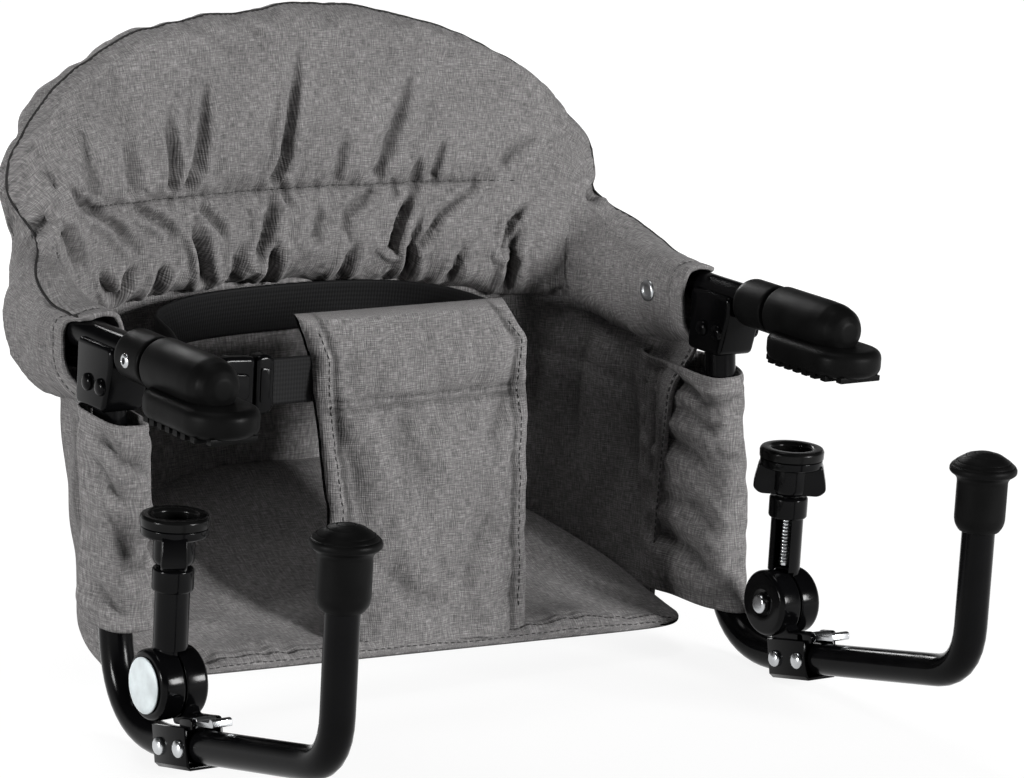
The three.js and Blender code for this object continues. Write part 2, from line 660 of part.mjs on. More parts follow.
function knob(turn) {
  const wing = KNOB_SPAN / 2;
  const hub = turnedZ([[0, KNOB_BASE], [KNOB_HUB_D * 0.4, KNOB_BASE], [KNOB_HUB_D / 2, KNOB_BASE + 3],
    [KNOB_HUB_D / 2, KNOB_TOP - KNOB_PLATE_H + 1], [0, KNOB_TOP - KNOB_PLATE_H + 1]]);
  const wings = extrudedX([[-wing * 0.72, KNOB_BASE + 1], [wing * 0.72, KNOB_BASE + 1], [wing, KNOB_BASE + 5],
    [wing, KNOB_TOP - KNOB_PLATE_H - 2], [wing * 0.6, KNOB_TOP - KNOB_PLATE_H + 1],
    [-wing * 0.6, KNOB_TOP - KNOB_PLATE_H + 1], [-wing, KNOB_TOP - KNOB_PLATE_H - 2], [-wing, KNOB_BASE + 5]],
  -KNOB_WING_W / 2, KNOB_WING_W / 2);
  const plate = rodZ(KNOB_PLATE_D, KNOB_TOP - KNOB_PLATE_H, KNOB_TOP, 0, 0, FINE_SIDES);
  const socket = rodZ(SCREW_D + 2 * GAP, KNOB_BASE - 1, KNOB_BASE + KNOB_SOCKET + GAP);
  return cut(join(hub, wings, plate), socket).rotateZ(rad(turn));
}

function pressureRing() {
  const inner = RING_HOLE_D / 2;
  const outer = RING_D / 2;
  const low = KNOB_TOP + GAP;
  return turnedZ([[inner, low], [outer - 2, low], [outer, low + RING_H * 0.4], [outer, RING_TOP - 1.2],
    [outer - 1, RING_TOP], [inner + 1, RING_TOP], [inner, RING_TOP - 1.2], [inner, low]]);
}

function releaseLever() {
  const x = LEVER_W / 2;
  const barrel = rodX(LEVER_BARREL_D, -x, x, -LEVER_FRONT, LEVER_RISE);
  const trunnions = rodX(LEVER_TRUNNION_D, -TUBE_R + GAP, TUBE_R - GAP, -LEVER_FRONT, LEVER_RISE);
  const low = LEVER_RISE - LEVER_T / 2;
  const tip = -LEVER_FRONT - LEVER_LENGTH;
  const tab = extrudedX([[-LEVER_FRONT, low], [-LEVER_FRONT, low + LEVER_T], [tip + 4, low + LEVER_T],
    [tip + 3, low + LEVER_TIP_H], [tip, low + LEVER_TIP_H - 1], [tip, low]], -x, x);
  return runFrame(join(barrel, trunnions, tab));
}

// Fabric sleeve round the arm tube, from the bracket back to the hoop, narrowing as the tube climbs
function armSleeve() {
  const path = upperPath();
  const samples = UPPER_STEPS * 8;
  const stretch = [];
  for (let i = 0; i < samples / 2; i += 1) {
    const point = path.getPoint(i / samples);
    if (point.y >= ARM_SLEEVE_FRONT_Y && point.z <= ARM_SLEEVE_REAR_Z) {
      stretch.push({ point, along: path.getTangent(i / samples) });
    }
  }
  const count = 11;
  const rings = Array.from({ length: count }, (_, i) => {
    const share = i / (count - 1);
    const { point, along } = stretch[Math.round(share * (stretch.length - 1))];
    const across = along.clone().cross(vec(0, 0, 1)).normalize();
    const up = across.clone().cross(along).normalize();
    const narrow = smooth(share, 0.35, 1);
    const slack = 1 + 0.04 * Math.sin(i * 2.1) * (1 - narrow);
    const halfH = lerp(ARM_SLEEVE_HALF_H, ARM_SLEEVE_REAR_HALF, narrow) * slack;
    const centre = point.clone().addScaledVector(up, -ARM_SLEEVE_DROP * (1 - narrow));
    const halfW = lerp(ARM_SLEEVE_HALF_W, ARM_SLEEVE_REAR_HALF, narrow);
    return oval(centre.setX(centre.x - SIDE_X), halfW, halfH, across, up, 18);
  });
  return cut(loft(rings), upperBar(TUBE_D + 2 * GAP).translate(-SIDE_X, 0, 0));
}

// Fabric sleeve round the leg, with slack diagonal folds
function legSleeve() {
  const count = 14;
  const rings = Array.from({ length: count }, (_, i) => {
    const z = lerp(LEG_SLEEVE_TOP_Z, LEG_SLEEVE_BOTTOM_Z, i / (count - 1));
    const fold = LEG_SLEEVE_FOLD * (Math.sin(i * 1.9) - 1);
    return oval(vec(0, legY(z) + LEG_SLEEVE_SETBACK, z), LEG_SLEEVE_HALF_W + fold, LEG_SLEEVE_HALF_D - fold,
      vec(1, 0, 0), vec(0, 1, 0), 18);
  });
  return cut(loft(rings), hookBar(TUBE_D + 2 * GAP));
}

// Seat surface height, and the shell's plan at a level v from 0 at the seat to 1 at the arms
const SEAT_REAR_Y = WALL_LOW_CENTRE_Y + WALL_LOW_DEPTH - WALL_T;
function seatZ(y) {
  const along = Math.max(0, y - SEAT_FRONT_Y) / (SEAT_REAR_Y - SEAT_FRONT_Y);
  return SEAT_FRONT_Z + SEAT_RISE * Math.min(along, 1) ** SEAT_RISE_POWER;
}

const STRAIGHT = 0.4; // share of the run round the shell that is the straight side
function wallPlan(t, v, inset) {
  const centre = lerp(WALL_LOW_CENTRE_Y, WALL_HIGH_CENTRE_Y, v);
  const depth = lerp(WALL_LOW_DEPTH, WALL_HIGH_DEPTH, v) - inset;
  const power = lerp(WALL_LOW_POWER, WALL_HIGH_POWER, v);
  const width = WALL_HALF_W - inset;
  if (t < STRAIGHT) {
    return [width, lerp(WALL_FRONT_Y, centre, t / STRAIGHT)];
  }
  const angle = ((t - STRAIGHT) / (1 - STRAIGHT)) * Math.PI / 2;
  const x = width * Math.max(Math.cos(angle), 0) ** (2 / power);
  return [x, centre + depth * Math.sin(angle) ** (2 / power)];
}

// One upright slice of the shell; t runs from 0 at the right front edge over 1 at the back to 2 at the left
function wallSlice(t) {
  const share = t <= 1 ? t : 2 - t;
  const side = t <= 1 ? 1 : -1;
  const levels = 7;
  const fold = (v) => WALL_FOLD * Math.sin(Math.PI * v) * (1 + Math.sin(share * 23));
  const top = lerp(WALL_FRONT_TOP_Z, WALL_TOP_Z, smooth(share, 0.17, 0.27))
    + (BACK_BOTTOM_Z - GAP - WALL_TOP_Z) * smooth(share, 0.5, 0.72);
  const point = (v, inset) => {
    const [x, y] = wallPlan(share, v, inset + fold(v));
    return vec(side * x, y, lerp(seatZ(y) - SEAT_T, top, v));
  };
  const rows = Array.from({ length: levels }, (_, i) => i / (levels - 1));
  return [...rows.map((v) => point(v, WALL_T)), ...rows.reverse().map((v) => point(v, 0))];
}

function wallPiece(t0, t1, count) {
  return loft(Array.from({ length: count }, (_, i) => wallSlice(lerp(t0, t1, i / (count - 1)))));
}

function seatCushion() {
  const count = 15;
  const half = (y) => {
    const inset = WALL_T + GAP;
    const depth = WALL_LOW_DEPTH - inset;
    const along = Math.max(0, y - WALL_LOW_CENTRE_Y) / depth;
    const round = (1 - Math.min(along, 0.999) ** WALL_LOW_POWER) ** (1 / WALL_LOW_POWER);
    return (WALL_HALF_W - inset - WALL_FOLD) * round;
  };
  const rings = Array.from({ length: count }, (_, i) => {
    const share = i / (count - 1);
    const y = lerp(SEAT_FRONT_Y, SEAT_REAR_Y - 3, share);
    const width = half(y) - SEAT_CORNER * (1 - smooth(share, 0, 0.14)) - (i === 0 ? 2 : 0);
    const middle = seatZ(y) - SEAT_T / 2;
    const plump = (SEAT_T / 2) * (i === 0 || i === count - 1 ? 0.6 : 1);
    const across = [-1, -0.97, -0.8, -0.4, 0.4, 0.8, 0.97, 1];
    const crown = (k) => plump * (1 - 0.45 * Math.abs(k) ** 6);
    const upper = across.map((k) => vec(k * width, y, middle + crown(k)));
    const lower = across.map((k) => vec(k * width, y, middle - crown(k) * 0.98)).reverse();
    return [...upper, ...lower];
  });
  return loft(rings);
}

function seatBoard() {
  const count = 6;
  const rings = Array.from({ length: count }, (_, i) => {
    const y = lerp(BOARD_FRONT_Y, BOARD_REAR_Y, i / (count - 1));
    const top = seatZ(y) - SEAT_T - GAP;
    const x = BOARD_HALF_W;
    return [vec(-x, y, top), vec(x, y, top), vec(x, y, top - BOARD_T), vec(-x, y, top - BOARD_T)];
  });
  return loft(rings);
}

// Levels of a slice of the back cushion, as shares of its height below and above the stitched channel
const BELOW_CHANNEL = [0, 0.1, 0.35, 0.7, 0.88, 1];
const ABOVE_CHANNEL = [0.08, 0.22, 0.5, 0.8, 0.94, 1];
function backCushion() {
  const across = 31;
  const rings = Array.from({ length: across }, (_, i) => {
    const x = (BACK_HALF_W - 3) * Math.sin(lerp(-Math.PI / 2, Math.PI / 2, i / (across - 1)) * 0.999);
    const reach = Math.abs(x) / BACK_HALF_W;
    const low = BACK_BOTTOM_Z + BACK_SIDE_LIFT * smooth(Math.abs(x), BACK_HALF_W * 0.74, BACK_HALF_W);
    const high = BACK_ARCH_Z + BACK_ARCH_RISE * Math.sqrt(1 - reach ** 2);
    const ends = Math.sqrt(1 - reach ** 10);
    const point = (z, side) => {
      const round = Math.sqrt(1 - Math.abs((2 * (z - low)) / (high - low) - 1) ** 4);
      const seam = Math.exp(-(((z - BACK_ARCH_Z) / CHANNEL_WIDTH) ** 2));
      const gather = GATHER_DEPTH * Math.cos((2 * Math.PI * x) / GATHER_PITCH)
        * Math.exp(-(((z - BACK_ARCH_Z) / (4 * CHANNEL_WIDTH)) ** 2)) * round * ends;
      const puff = round * ends;
      const front = BACK_EDGE_T + (BACK_FRONT_PUFF - CHANNEL_DEPTH * seam) * puff + gather;
      const rear = BACK_EDGE_T + BACK_REAR_PUFF * puff;
      return vec(x, backY(x, z) + (side < 0 ? -front : rear), z);
    };
    const levels = [...BELOW_CHANNEL.map((k) => lerp(low, BACK_ARCH_Z, k)),
      ...ABOVE_CHANNEL.map((k) => lerp(BACK_ARCH_Z, high, k))];
    return [...levels.map((z) => point(z, -1)), ...levels.reverse().map((z) => point(z, 1))];
  });
  return cut(loft(rings), upperBar(TUBE_D + 2 * GAP));
}

// Panel between the legs: two layers of cloth, leaning back, with the belt's tunnel across it
const PANEL_BASE_Z = seatZ(PANEL_BOTTOM_Y + PANEL_T) + GAP;
const panelY = (z) => lerp(PANEL_BOTTOM_Y, PANEL_TOP_Y, (z - PANEL_BASE_Z) / (PANEL_TOP_Z - PANEL_BASE_Z));
const TUNNEL_T = BELT_T + 2 * GAP;
function crotchPanel() {
  const count = 15;
  const rings = Array.from({ length: count }, (_, i) => {
    const share = i / (count - 1);
    const z = lerp(PANEL_BASE_Z, PANEL_TOP_Z, share);
    const half = lerp(PANEL_HALF_W_BOTTOM, PANEL_HALF_W_TOP, smooth(share, 0, 0.8))
      - PANEL_CORNER * smooth(share, 0.86, 1);
    const thick = PANEL_T * (1 - 0.3 * smooth(share, 0.9, 1));
    const across = [-1, -0.97, -0.6, -0.2, 0.2, 0.6, 0.97, 1];
    const bow = (k) => 1.5 * Math.cos(k * 2 + share * 5) * Math.sin(Math.PI * share);
    const plump = (k) => (thick / 2) * (1 - 0.35 * Math.abs(k) ** 8);
    const middle = panelY(z) + PANEL_T / 2;
    const front = across.map((k) => vec(k * half, middle + bow(k) - plump(k), z));
    const rear = across.map((k) => vec(k * half, middle + bow(k) + plump(k), z)).reverse();
    return [...front, ...rear];
  });
  const reach = PANEL_HALF_W_TOP + 10;
  const tunnel = box([-reach, reach], [BELT_Y - TUNNEL_T / 2, BELT_Y + TUNNEL_T / 2],
    [BELT_Z - BELT_W / 2 - GAP, BELT_Z + BELT_W / 2 + GAP]);
  return cut(loft(rings), tunnel);
}

// A flat strap on edge along a path
function strap(path, count) {
  const rings = Array.from({ length: count }, (_, i) => {
    const u = i / (count - 1);
    const p = path.getPointAt(u);
    const side = path.getTangentAt(u).cross(vec(0, 0, 1)).setZ(0).normalize().multiplyScalar(BELT_T / 2);
    const up = vec(0, 0, BELT_W / 2);
    const left = p.clone().add(side);
    const right = p.clone().sub(side);
    return [left.clone().sub(up), right.clone().sub(up), right.clone().add(up), left.clone().add(up)];
  });
  return loft(rings);
}

// Belt route from the buckle round the left side and the back to the tunnel's right end
function beltPath() {
  const start = BUCKLE_LEFT_X - GAP;
  const tunnelEnd = PANEL_HALF_W_TOP;
  const loop = Array.from({ length: 9 }, (_, i) => {
    const angle = Math.PI * (1 - i / 8);
    const reach = Math.cos(angle) < 0 ? BELT_LEFT_X : BELT_RIGHT_X;
    const x = reach * Math.abs(Math.cos(angle)) ** (2 / BELT_LOOP_POWER);
    const back = Math.sin(angle) ** (2 / BELT_LOOP_POWER);
    const z = lerp(BELT_Z, BELT_BACK_Z, 0.5 + 0.5 * back);
    return vec(x, lerp(BELT_SIDE_Y, BELT_REAR_Y, back), z);
  });
  return new THREE.CatmullRomCurve3([
    vec(start, BELT_Y, BELT_Z), vec(start - 12, BELT_Y + 3, BELT_Z),
    vec(BELT_LEFT_X + 2, BELT_CORNER_Y, lerp(BELT_Z, BELT_BACK_Z, 0.25)),
    ...loop,
    vec(BELT_RIGHT_X - 6, BELT_CORNER_Y, BELT_Z), vec(tunnelEnd + 20, BELT_Y + 2.4, BELT_Z),
    vec(tunnelEnd + 11, BELT_Y, BELT_Z), vec(tunnelEnd + 3, BELT_Y, BELT_Z), vec(BELT_END_X, BELT_Y, BELT_Z),
  ], false, 'centripetal');
}

const HEAD_LEFT_X = BUCKLE_LEFT_X + BUCKLE_SOCKET_L + GAP;
const HEAD_RIGHT_X = HEAD_LEFT_X + BUCKLE_HEAD_L;
const across = (size, extra = 0) => [-size / 2 - extra, size / 2 + extra];
const aboutBelt = (geometry) => geometry.translate(0, BELT_Y, BELT_Z);

function buckleSocket() {
  const right = BUCKLE_LEFT_X + BUCKLE_SOCKET_L;
  const shell = box([BUCKLE_LEFT_X, right], across(BUCKLE_T), across(BUCKLE_H));
  const mouth = box([right - TONGUE_L - 2 * GAP, right + 1], across(TONGUE_T, GAP), across(TONGUE_H, GAP));
  return aboutBelt(cut(shell, mouth));
}

function buckleTongue() {
  const head = box([HEAD_LEFT_X, HEAD_RIGHT_X], across(BUCKLE_T * 0.8), across(BUCKLE_H));
  const tongue = box([HEAD_LEFT_X - TONGUE_L, HEAD_LEFT_X + 1], across(TONGUE_T), across(TONGUE_H));
  const windowLength = [HEAD_LEFT_X - TONGUE_L + 5, HEAD_LEFT_X - 4];
  const window = box(windowLength, across(TONGUE_T, 1), across(TONGUE_H - 12));
  return aboutBelt(cut(join(head, tongue), window));
}

function buckleStrap() {
  const length = [HEAD_RIGHT_X + GAP, BUCKLE_STRAP_END_X];
  return aboutBelt(box(length, across(BELT_T), across(BELT_W)));
}

function sleeveSnap() {
  const inner = WALL_HALF_W - WALL_T - WALL_FOLD - SIDE_X;
  const r = SNAP_D / 2;
  return turnedZ([[0, 0], [r, 0], [r, SNAP_T * 0.5], [r * 0.7, SNAP_T], [0, SNAP_T]])
    .rotateY(-Math.PI / 2).translate(inner, SNAP_Y, SNAP_Z);
}

// One side frame with its clamp; the pieces are drawn for the right side, whose outer face is +X
function buildSide(name, sign, knobTurn) {
  const side = new THREE.Group();
  side.position.x = sign * SIDE_X;
  const clamp = new THREE.Group();
  clamp.position.set(0, PIVOT_Y, PIVOT_Z);
  side.add(clamp);
  const handed = (geometry) => (sign > 0 ? geometry : reversed(geometry.scale(-1, 1, 1)));
  const fix = (piece, geometry, material) => place(side, `${name}_${piece}`, handed(geometry), material);
  const hang = (piece, geometry, material) => place(clamp, `${name}_${piece}`, handed(geometry), material);

  fix('hook_tube', hookTube(), blackSteel());
  fix('hook_plug', hookPlug(), rubber());
  fix('arm_grip', armGrip(), softGrip());
  fix('arm_pad', armPad(), rubber());
  fix('grip_screw', gripScrew(), zinc());
  fix('arm_bracket', armBracket(), blackSteel());
  fix('arm_bolt_front', throughBolt(ARM_BRACKET_W, ARM_BOLT_FRONT_Y, ARM_BOLT_Z), zinc());
  fix('arm_bolt_rear', throughBolt(ARM_BRACKET_W, REAR_BOLT_Y, ARM_BOLT_Z), zinc());
  fix('clamp_bracket', clampBracket(), blackSteel());
  fix('bracket_bolt_front', runFrame(throughBolt(BRACKET_W, BRACKET_BOLTS[0], 0)), zinc());
  fix('bracket_bolt_rear', runFrame(throughBolt(BRACKET_W, BRACKET_BOLTS[1], 0)), zinc());
  fix('hinge_base', hingeBase(), blackPlastic());
  fix('release_lever', releaseLever(), zinc());
  fix('arm_sleeve', armSleeve(), cloth());
  fix('leg_sleeve', legSleeve(), cloth());
  fix('sleeve_snap', sleeveSnap(), zinc());
  hang('hinge_pin', hingePin(), zinc());
  hang('hinge_cap', hingeCap(), paleCap());
  hang('clamp_post', clampPost(), blackPlastic());
  hang('screw_nut', screwNut(), zinc());
  hang('clamp_screw', clampScrew(), zinc());
  hang('knob', knob(sign * knobTurn), blackPlastic());
  hang('pressure_ring', pressureRing(), rubber());
  return side;
}

chair.add(buildSide('left', -1, KNOB_TURN_LEFT_DEG));
chair.add(buildSide('right', 1, KNOB_TURN_RIGHT_DEG));

const SEAM_T = 0.64; // where the side panels end and the back panel begins, on the run round the shell
const SEAM_GAP = 0.002;
place(chair, 'upper_frame_tube', upperBar(TUBE_D, TUBE_D - 2 * TUBE_WALL), blackSteel());
place(chair, 'right_side_panel', wallPiece(0, SEAM_T - SEAM_GAP, 13), cloth());
place(chair, 'left_side_panel', wallPiece(2, 2 - SEAM_T + SEAM_GAP, 13), cloth());
place(chair, 'back_panel', wallPiece(SEAM_T + SEAM_GAP, 2 - SEAM_T - SEAM_GAP, 17), cloth());
place(chair, 'seat_cushion', seatCushion(), cloth());
place(chair, 'seat_board', seatBoard(), ply());
place(chair, 'back_cushion', backCushion(), cloth());
place(chair, 'crotch_panel', crotchPanel(), cloth());
place(chair, 'waist_belt', strap(beltPath(), 44), webbing());
place(chair, 'buckle_socket', buckleSocket(), blackPlastic());
place(chair, 'buckle_tongue', buckleTongue(), blackPlastic());
place(chair, 'buckle_strap', buckleStrap(), webbing());

export default chair;
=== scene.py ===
"""Looks of a hook-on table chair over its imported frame, laid out as an add-on and run as a script.

Pieces are drawn in millimetres in the frame's own axes: X to the right, Y to the back and Z up, with the
table top at Z = 0.
"""
import math

import bmesh
import bpy
import numpy as np
from mathutils import Matrix, Vector


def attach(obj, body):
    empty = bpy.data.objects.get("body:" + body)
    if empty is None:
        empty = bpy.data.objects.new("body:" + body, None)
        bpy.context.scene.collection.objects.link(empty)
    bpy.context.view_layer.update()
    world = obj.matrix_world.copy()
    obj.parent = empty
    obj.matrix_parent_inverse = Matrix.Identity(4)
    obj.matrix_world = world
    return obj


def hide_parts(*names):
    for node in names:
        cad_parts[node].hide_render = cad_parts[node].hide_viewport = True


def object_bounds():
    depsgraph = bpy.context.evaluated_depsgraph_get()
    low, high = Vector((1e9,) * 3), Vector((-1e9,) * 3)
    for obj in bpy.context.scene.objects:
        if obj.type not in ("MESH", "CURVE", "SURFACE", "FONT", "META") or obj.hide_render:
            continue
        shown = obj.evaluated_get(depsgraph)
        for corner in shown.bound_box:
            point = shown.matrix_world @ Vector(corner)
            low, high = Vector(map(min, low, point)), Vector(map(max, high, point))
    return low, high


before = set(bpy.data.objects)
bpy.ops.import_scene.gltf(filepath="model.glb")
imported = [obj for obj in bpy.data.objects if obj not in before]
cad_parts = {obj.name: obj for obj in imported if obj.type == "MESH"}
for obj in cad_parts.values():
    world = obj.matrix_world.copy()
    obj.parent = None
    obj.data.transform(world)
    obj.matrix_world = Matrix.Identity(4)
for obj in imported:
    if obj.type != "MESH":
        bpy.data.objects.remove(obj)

bl_info = {
    "name": "Hook-on table chair",
    "version": (1, 0, 0),
    "blender": (4, 5, 0),
    "location": "3D View > Sidebar > Chair",
    "description": "Builds the looks of a hook-on table chair over its frame",
    "category": "Object",
}

CAD_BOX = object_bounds()
MM = 0.001
WAVE_PERIOD = 0.314  # of the wave texture at scale 1
FRAME = "chair_frame"
SIDES = (("right", 1), ("left", -1))

# Steel frame with its grips, pads and plugs
SIDE_X = 200
TUBE_R = 9
ARM_Z = 25
ARM_FRONT_Y = -2
GRIP_REAR_Y = 78
GRIP_SHIFT = 12
GRIP_SCREW_Y = 64
PAD_Y = 8
PAD_HALF_L, PAD_R = 39, 21
PAD_CUT_Z = 13.4  # the grip is cut flat here for its pad
GRIP_CUT_Y = 36.4  # the flat ends here, before the grip is moved by its shift
HOOP_HALF_W = 180
HOOP_BASE_Z = 68
HOOP_RISE = 91
HOOK_AXIS = ((-135, -27), (-135, -137), (82, -183.1), (106, 13))  # (y, z) corners of a hook
HOOK_BENDS = (32, 55)
RUN_SLOPE = math.radians(-12)
LEG_FOOT = (82, -183.12)  # (y, z) of the leg's lower end
LEG_LEAN = 24 / 196.12  # y gained for each z
PLUG_TOP = -14.6
ARM_BRACKET_W = 25
CLAMP_BRACKET_W, CLAMP_BRACKET_L = 22.8, 34

# Clamp, with its heights taken from the hinge's axis
BRACKET_Y = 7.5
PIVOT = (30, -140)
HINGE_R = 19
POST_TOP = 50
COLLAR_TOP = 62.4
KNOB_BASE = 63.2
KNOB_TOP = 84.2
RING_TOP = 90.6
KNOB_TURN = {"left": -29, "right": 52}  # degrees about Z
SLOT_WAY = {"left": 0, "right": 218}  # where the column's slot faces, in degrees
COLUMN_R, COLUMN_BORE_R = 9.2, 4.8
SCREW_LOW, SCREW_HIGH = 22, 72.2

# Sewn parts
BACK_Y = 262
BACK_HALF_W = 202
ARCH_Z = 70
BACK_CURVE, BACK_CURVE_POWER = 36, 2.4  # the sides stand further forward than the middle
BACK_LEAN = 0.1
WALL_HALF_W = 185.8
WALL_T = 6
WALL_LENGTH = 260  # about the way from the front edge of a side to the middle of the back
# Plan of the walls below and above: y of the front edge, y of the rounding's centre, its depth and power
WALL_LOW = (130, 134, 119, 2.2)
WALL_HIGH = (120, 153, 105, 3.0)
SEAT_FRONT_Y = 84
SEAT_REAR_Y = 251
SEAT_HALF_W = 182.5
SEAT_Z = -154
SEAT_TILT = 0.026
SEAT_RISE, SEAT_RISE_RUN, SEAT_RISE_POWER = 66, 163, 2.2
PANEL_FOOT = (88, -156.7)
PANEL_HEAD = (128, 26)
PANEL_RISE_POWER = 0.9
BELT_Y, BELT_Z = 127.6, -10
BELT_LEFT_X, BELT_RIGHT_X = -122, 94
BELT_REAR_Y, BELT_DEPTH, BELT_LIFT = 180, 65, 13
BELT_W, STRAP_W = 28, 26
WEB_T = 1.6
SNAP = (179.4, 149, 19)  # place of the right arm's snap
BACK_GRID = (400, 130)  # columns and rows of the padded back
FRONT_ROWS = 84  # rows from its lower edge up the front to the rim
HEM_SHARE = 0.042  # share of its columns that is folded into a hem
SEAT_TOP_SHARE, PANEL_FRONT_SHARE = 0.62, 0.6  # shares of the rows on the seat's top and the panel's front
LIFT_PASSES = 3
SETTLE_FRAMES, SETTLE_CAP = 14, 4.0  # steps of the cloth, and its furthest move
# Places of the knots round the padded back, as shares of its girth
ROUND_KNOTS = (0, 0.06, 0.13, 0.24, 0.36, 0.48, 0.58, 0.63, 0.68, 0.8, 0.9, 0.95, 1)
SEAM_V, RIM_V = ROUND_KNOTS[3], ROUND_KNOTS[7]
HOOP_COVER = 11.5  # half thickness of the cushion over the hoop
LINING = 30  # how far a hem's lining reaches into its sleeve
HEM_FOLD = 2.8

# Stage: lamps as name, place, watts and size, and the camera's place and axes
LAMPS = (
    ("key", (1.2, -2.1, 0.62), 76, 0.6), ("left", (-2.1, -0.05, 0.28), 33, 0.4),
    ("top", (-0.3, 0.4, 2.2), 9, 0.7), ("rear", (0.4, 2.4, 1.0), 42, 0.8),
)
LAMP_TARGET = (0, 0.1, -0.02)
AMBIENT = 0.02
CAMERA_LENS, CAMERA_SENSOR = 151.17, 36.0
CAMERA_PLACE = (-1.2741, -1.8319, 0.5090)
CAMERA_RIGHT = (0.82977, -0.55540, 0.05445)
CAMERA_UP = (0.07833, 0.21252, 0.97401)
CAMERA_BACK = (-0.55254, -0.80396, 0.21985)

# Stations of the padded back from the right arm's hem to the middle: x, y, z of the roll's middle,
# its reach inwards, outwards, up and down, and x, y, z of the rim's seam
BACK_STATIONS = (
    (200, 120, 25, 17.5, 12.5, 12.5, 33, 208.5, 120, 34),
    (200, 138, 25, 19.5, 13.5, 12.5, 38, 209, 139, 34.5),
    (199.5, 162, 25.5, 20.3, 16, 13.5, 42, 209, 164, 37), (197, 186, 28, 19, 17, 17, 43, 205, 194, 46),
    (189, 210, 35, 15.5, 16, 23, 42, 191, 223, 63), (182, 220.5, 38.5, 14, 15, 25, 40.5, 195.5, 236, 82),
    (174, 229, 41, 15.5, 14, 26, 39, 190.5, 241, 104), (150, 241, 43.5, 20, 13, 26.3, 37, 165, 251, 133),
    (112, 250.5, 44, 21, 13, 26, 32, 119, 262.5, 156), (60, 257, 44, 20.5, 13, 26, 28, 62, 269, 169.5),
    (0, 259, 44, 20, 13, 26, 26, 0, 271, 174),
)
# Creases and gathers of the back, as (x, z) lines that start at their deepest end, with depth and width
BACK_CREASES = (
    # Above the stitched channel
    (((-20, 78), (-15, 91), (-14, 102), (-8, 130), (-1, 161)), 6.5, 4.2),
    (((-81, 79), (-76, 88), (-72, 105), (-64, 147)), 5.5, 4.2),
    (((-93, 80), (-92, 92), (-94, 107), (-93, 128)), 6.0, 3.6),
    (((47, 80), (52, 92), (53, 99), (76, 142)), 5.0, 6.0),
    (((71, 71), (73, 91)), 3.5, 4.5), (((84, 77), (86, 85), (92, 100)), 3.5, 4.0),
    (((-149, 80), (-150, 99), (-152, 124)), 3.5, 10.0), (((-173, 89), (-178, 97)), 5.0, 6.0),
    (((-159, 77), (-162, 83), (-167, 87)), 4.5, 4.0),
    (((-190, 63), (-185, 66), (-180, 72), (-172, 74)), 8.0, 4.0),
    (((194, 66), (184, 64), (174, 63)), 6.0, 4.0), (((-120, 80), (-122, 96), (-126, 112)), 3.0, 5.0),
    (((20, 78), (22, 92), (26, 108)), 3.0, 5.0), (((128, 84), (136, 92), (150, 98)), 3.5, 6.0),
    # Gathers below it
    (((-155, 75), (-134, 62), (-119, 49), (-112, 36)), 6.0, 3.4),
    (((-116, 69), (-98, 59), (-88, 45)), 6.0, 3.6),
    (((-66, 24), (-73, 46), (-81, 62)), 9.0, 4.0), (((-71, 65), (-61, 55), (-55, 44)), 5.0, 3.2),
    (((-30, 37), (-23, 62), (-26, 74)), 7.0, 5.0), (((-15, 73), (-10, 58)), 4.0, 3.2),
    (((-22, 22), (-22, 28), (-19, 46)), 9.0, 4.4), (((5, 46), (11, 62)), 4.5, 6.0),
    (((43, 68), (27, 57), (23, 40)), 5.0, 4.0), (((-129, 17), (-136, 27), (-141, 41)), 6.0, 3.6),
    (((-126, 18), (-123, 27), (-118, 39)), 7.0, 4.0), (((-99, 18), (-98, 26), (-96, 38)), 7.0, 4.5),
    (((59, 35), (62, 49), (70, 66), (77, 73)), 7.5, 3.8), (((73, 14), (71, 34), (77, 54)), 9.0, 4.0),
    (((78, 37), (89, 54), (107, 67), (119, 81)), 5.5, 3.4), (((129, 32), (133, 47), (145, 62)), 7.5, 3.6),
    (((136, 9), (135, 34), (143, 54)), 9.0, 3.8),
    (((100, 14), (102, 28), (106, 40)), 5.0, 4.5), (((28, 18), (30, 30), (34, 42)), 5.0, 4.5),
    (((-46, 22), (-46, 36), (-44, 48)), 4.0, 4.5), (((-168, 60), (-160, 46), (-156, 32)), 4.5, 4.5),
)
# Folds of the walls, as (share of the length, z) lines, with depth and width
WALL_FOLDS = (
    (((0.34, -30), (0.35, -80), (0.33, -130)), 5.0, 0.028),
    (((0.47, -10), (0.5, -60), (0.49, -110)), 5.0, 0.03),
    (((0.62, 0), (0.6, -40), (0.61, -90)), 4.0, 0.03),
    (((0.22, -36), (0.24, -90), (0.21, -140)), 3.0, 0.025),
    (((0.8, 6), (0.79, -40), (0.8, -76)), 3.5, 0.03),
)
# Stretches of the wall, as shares of its length from the right front edge, with grid columns and seed
WALLS = {
    "right_side_panel": (0, 0.66, 110, 31), "back_panel": (0.64, 1.36, 120, 34),
    "left_side_panel": (1.34, 2, 110, 37),
}
# Panel between the legs by its height: middle and half width
PANEL_MIDDLE = ((-157, -85, -41, 3, 27), (4, 7.5, 8.5, 8, -2))
PANEL_HALF = ((-157, -85, -41, 3, 27), (62, 65, 68.5, 71, 68))
PANEL_TUNNEL_Z = -27
PANEL_ROW_GAP = 5
PANEL_CREASES = (
    (((-22, -118), (-8, -130), (18, -136)), 3.6, 6), (((66, -20), (52, -44), (46, -74)), 3.0, 6),
    (((-50, -34), (-42, -58), (-40, -88)), 2.6, 6), (((40, -96), (28, -112), (20, -134)), 2.6, 7),
    (((-10, -36), (-4, -58), (0, -84)), 2.0, 9),
)
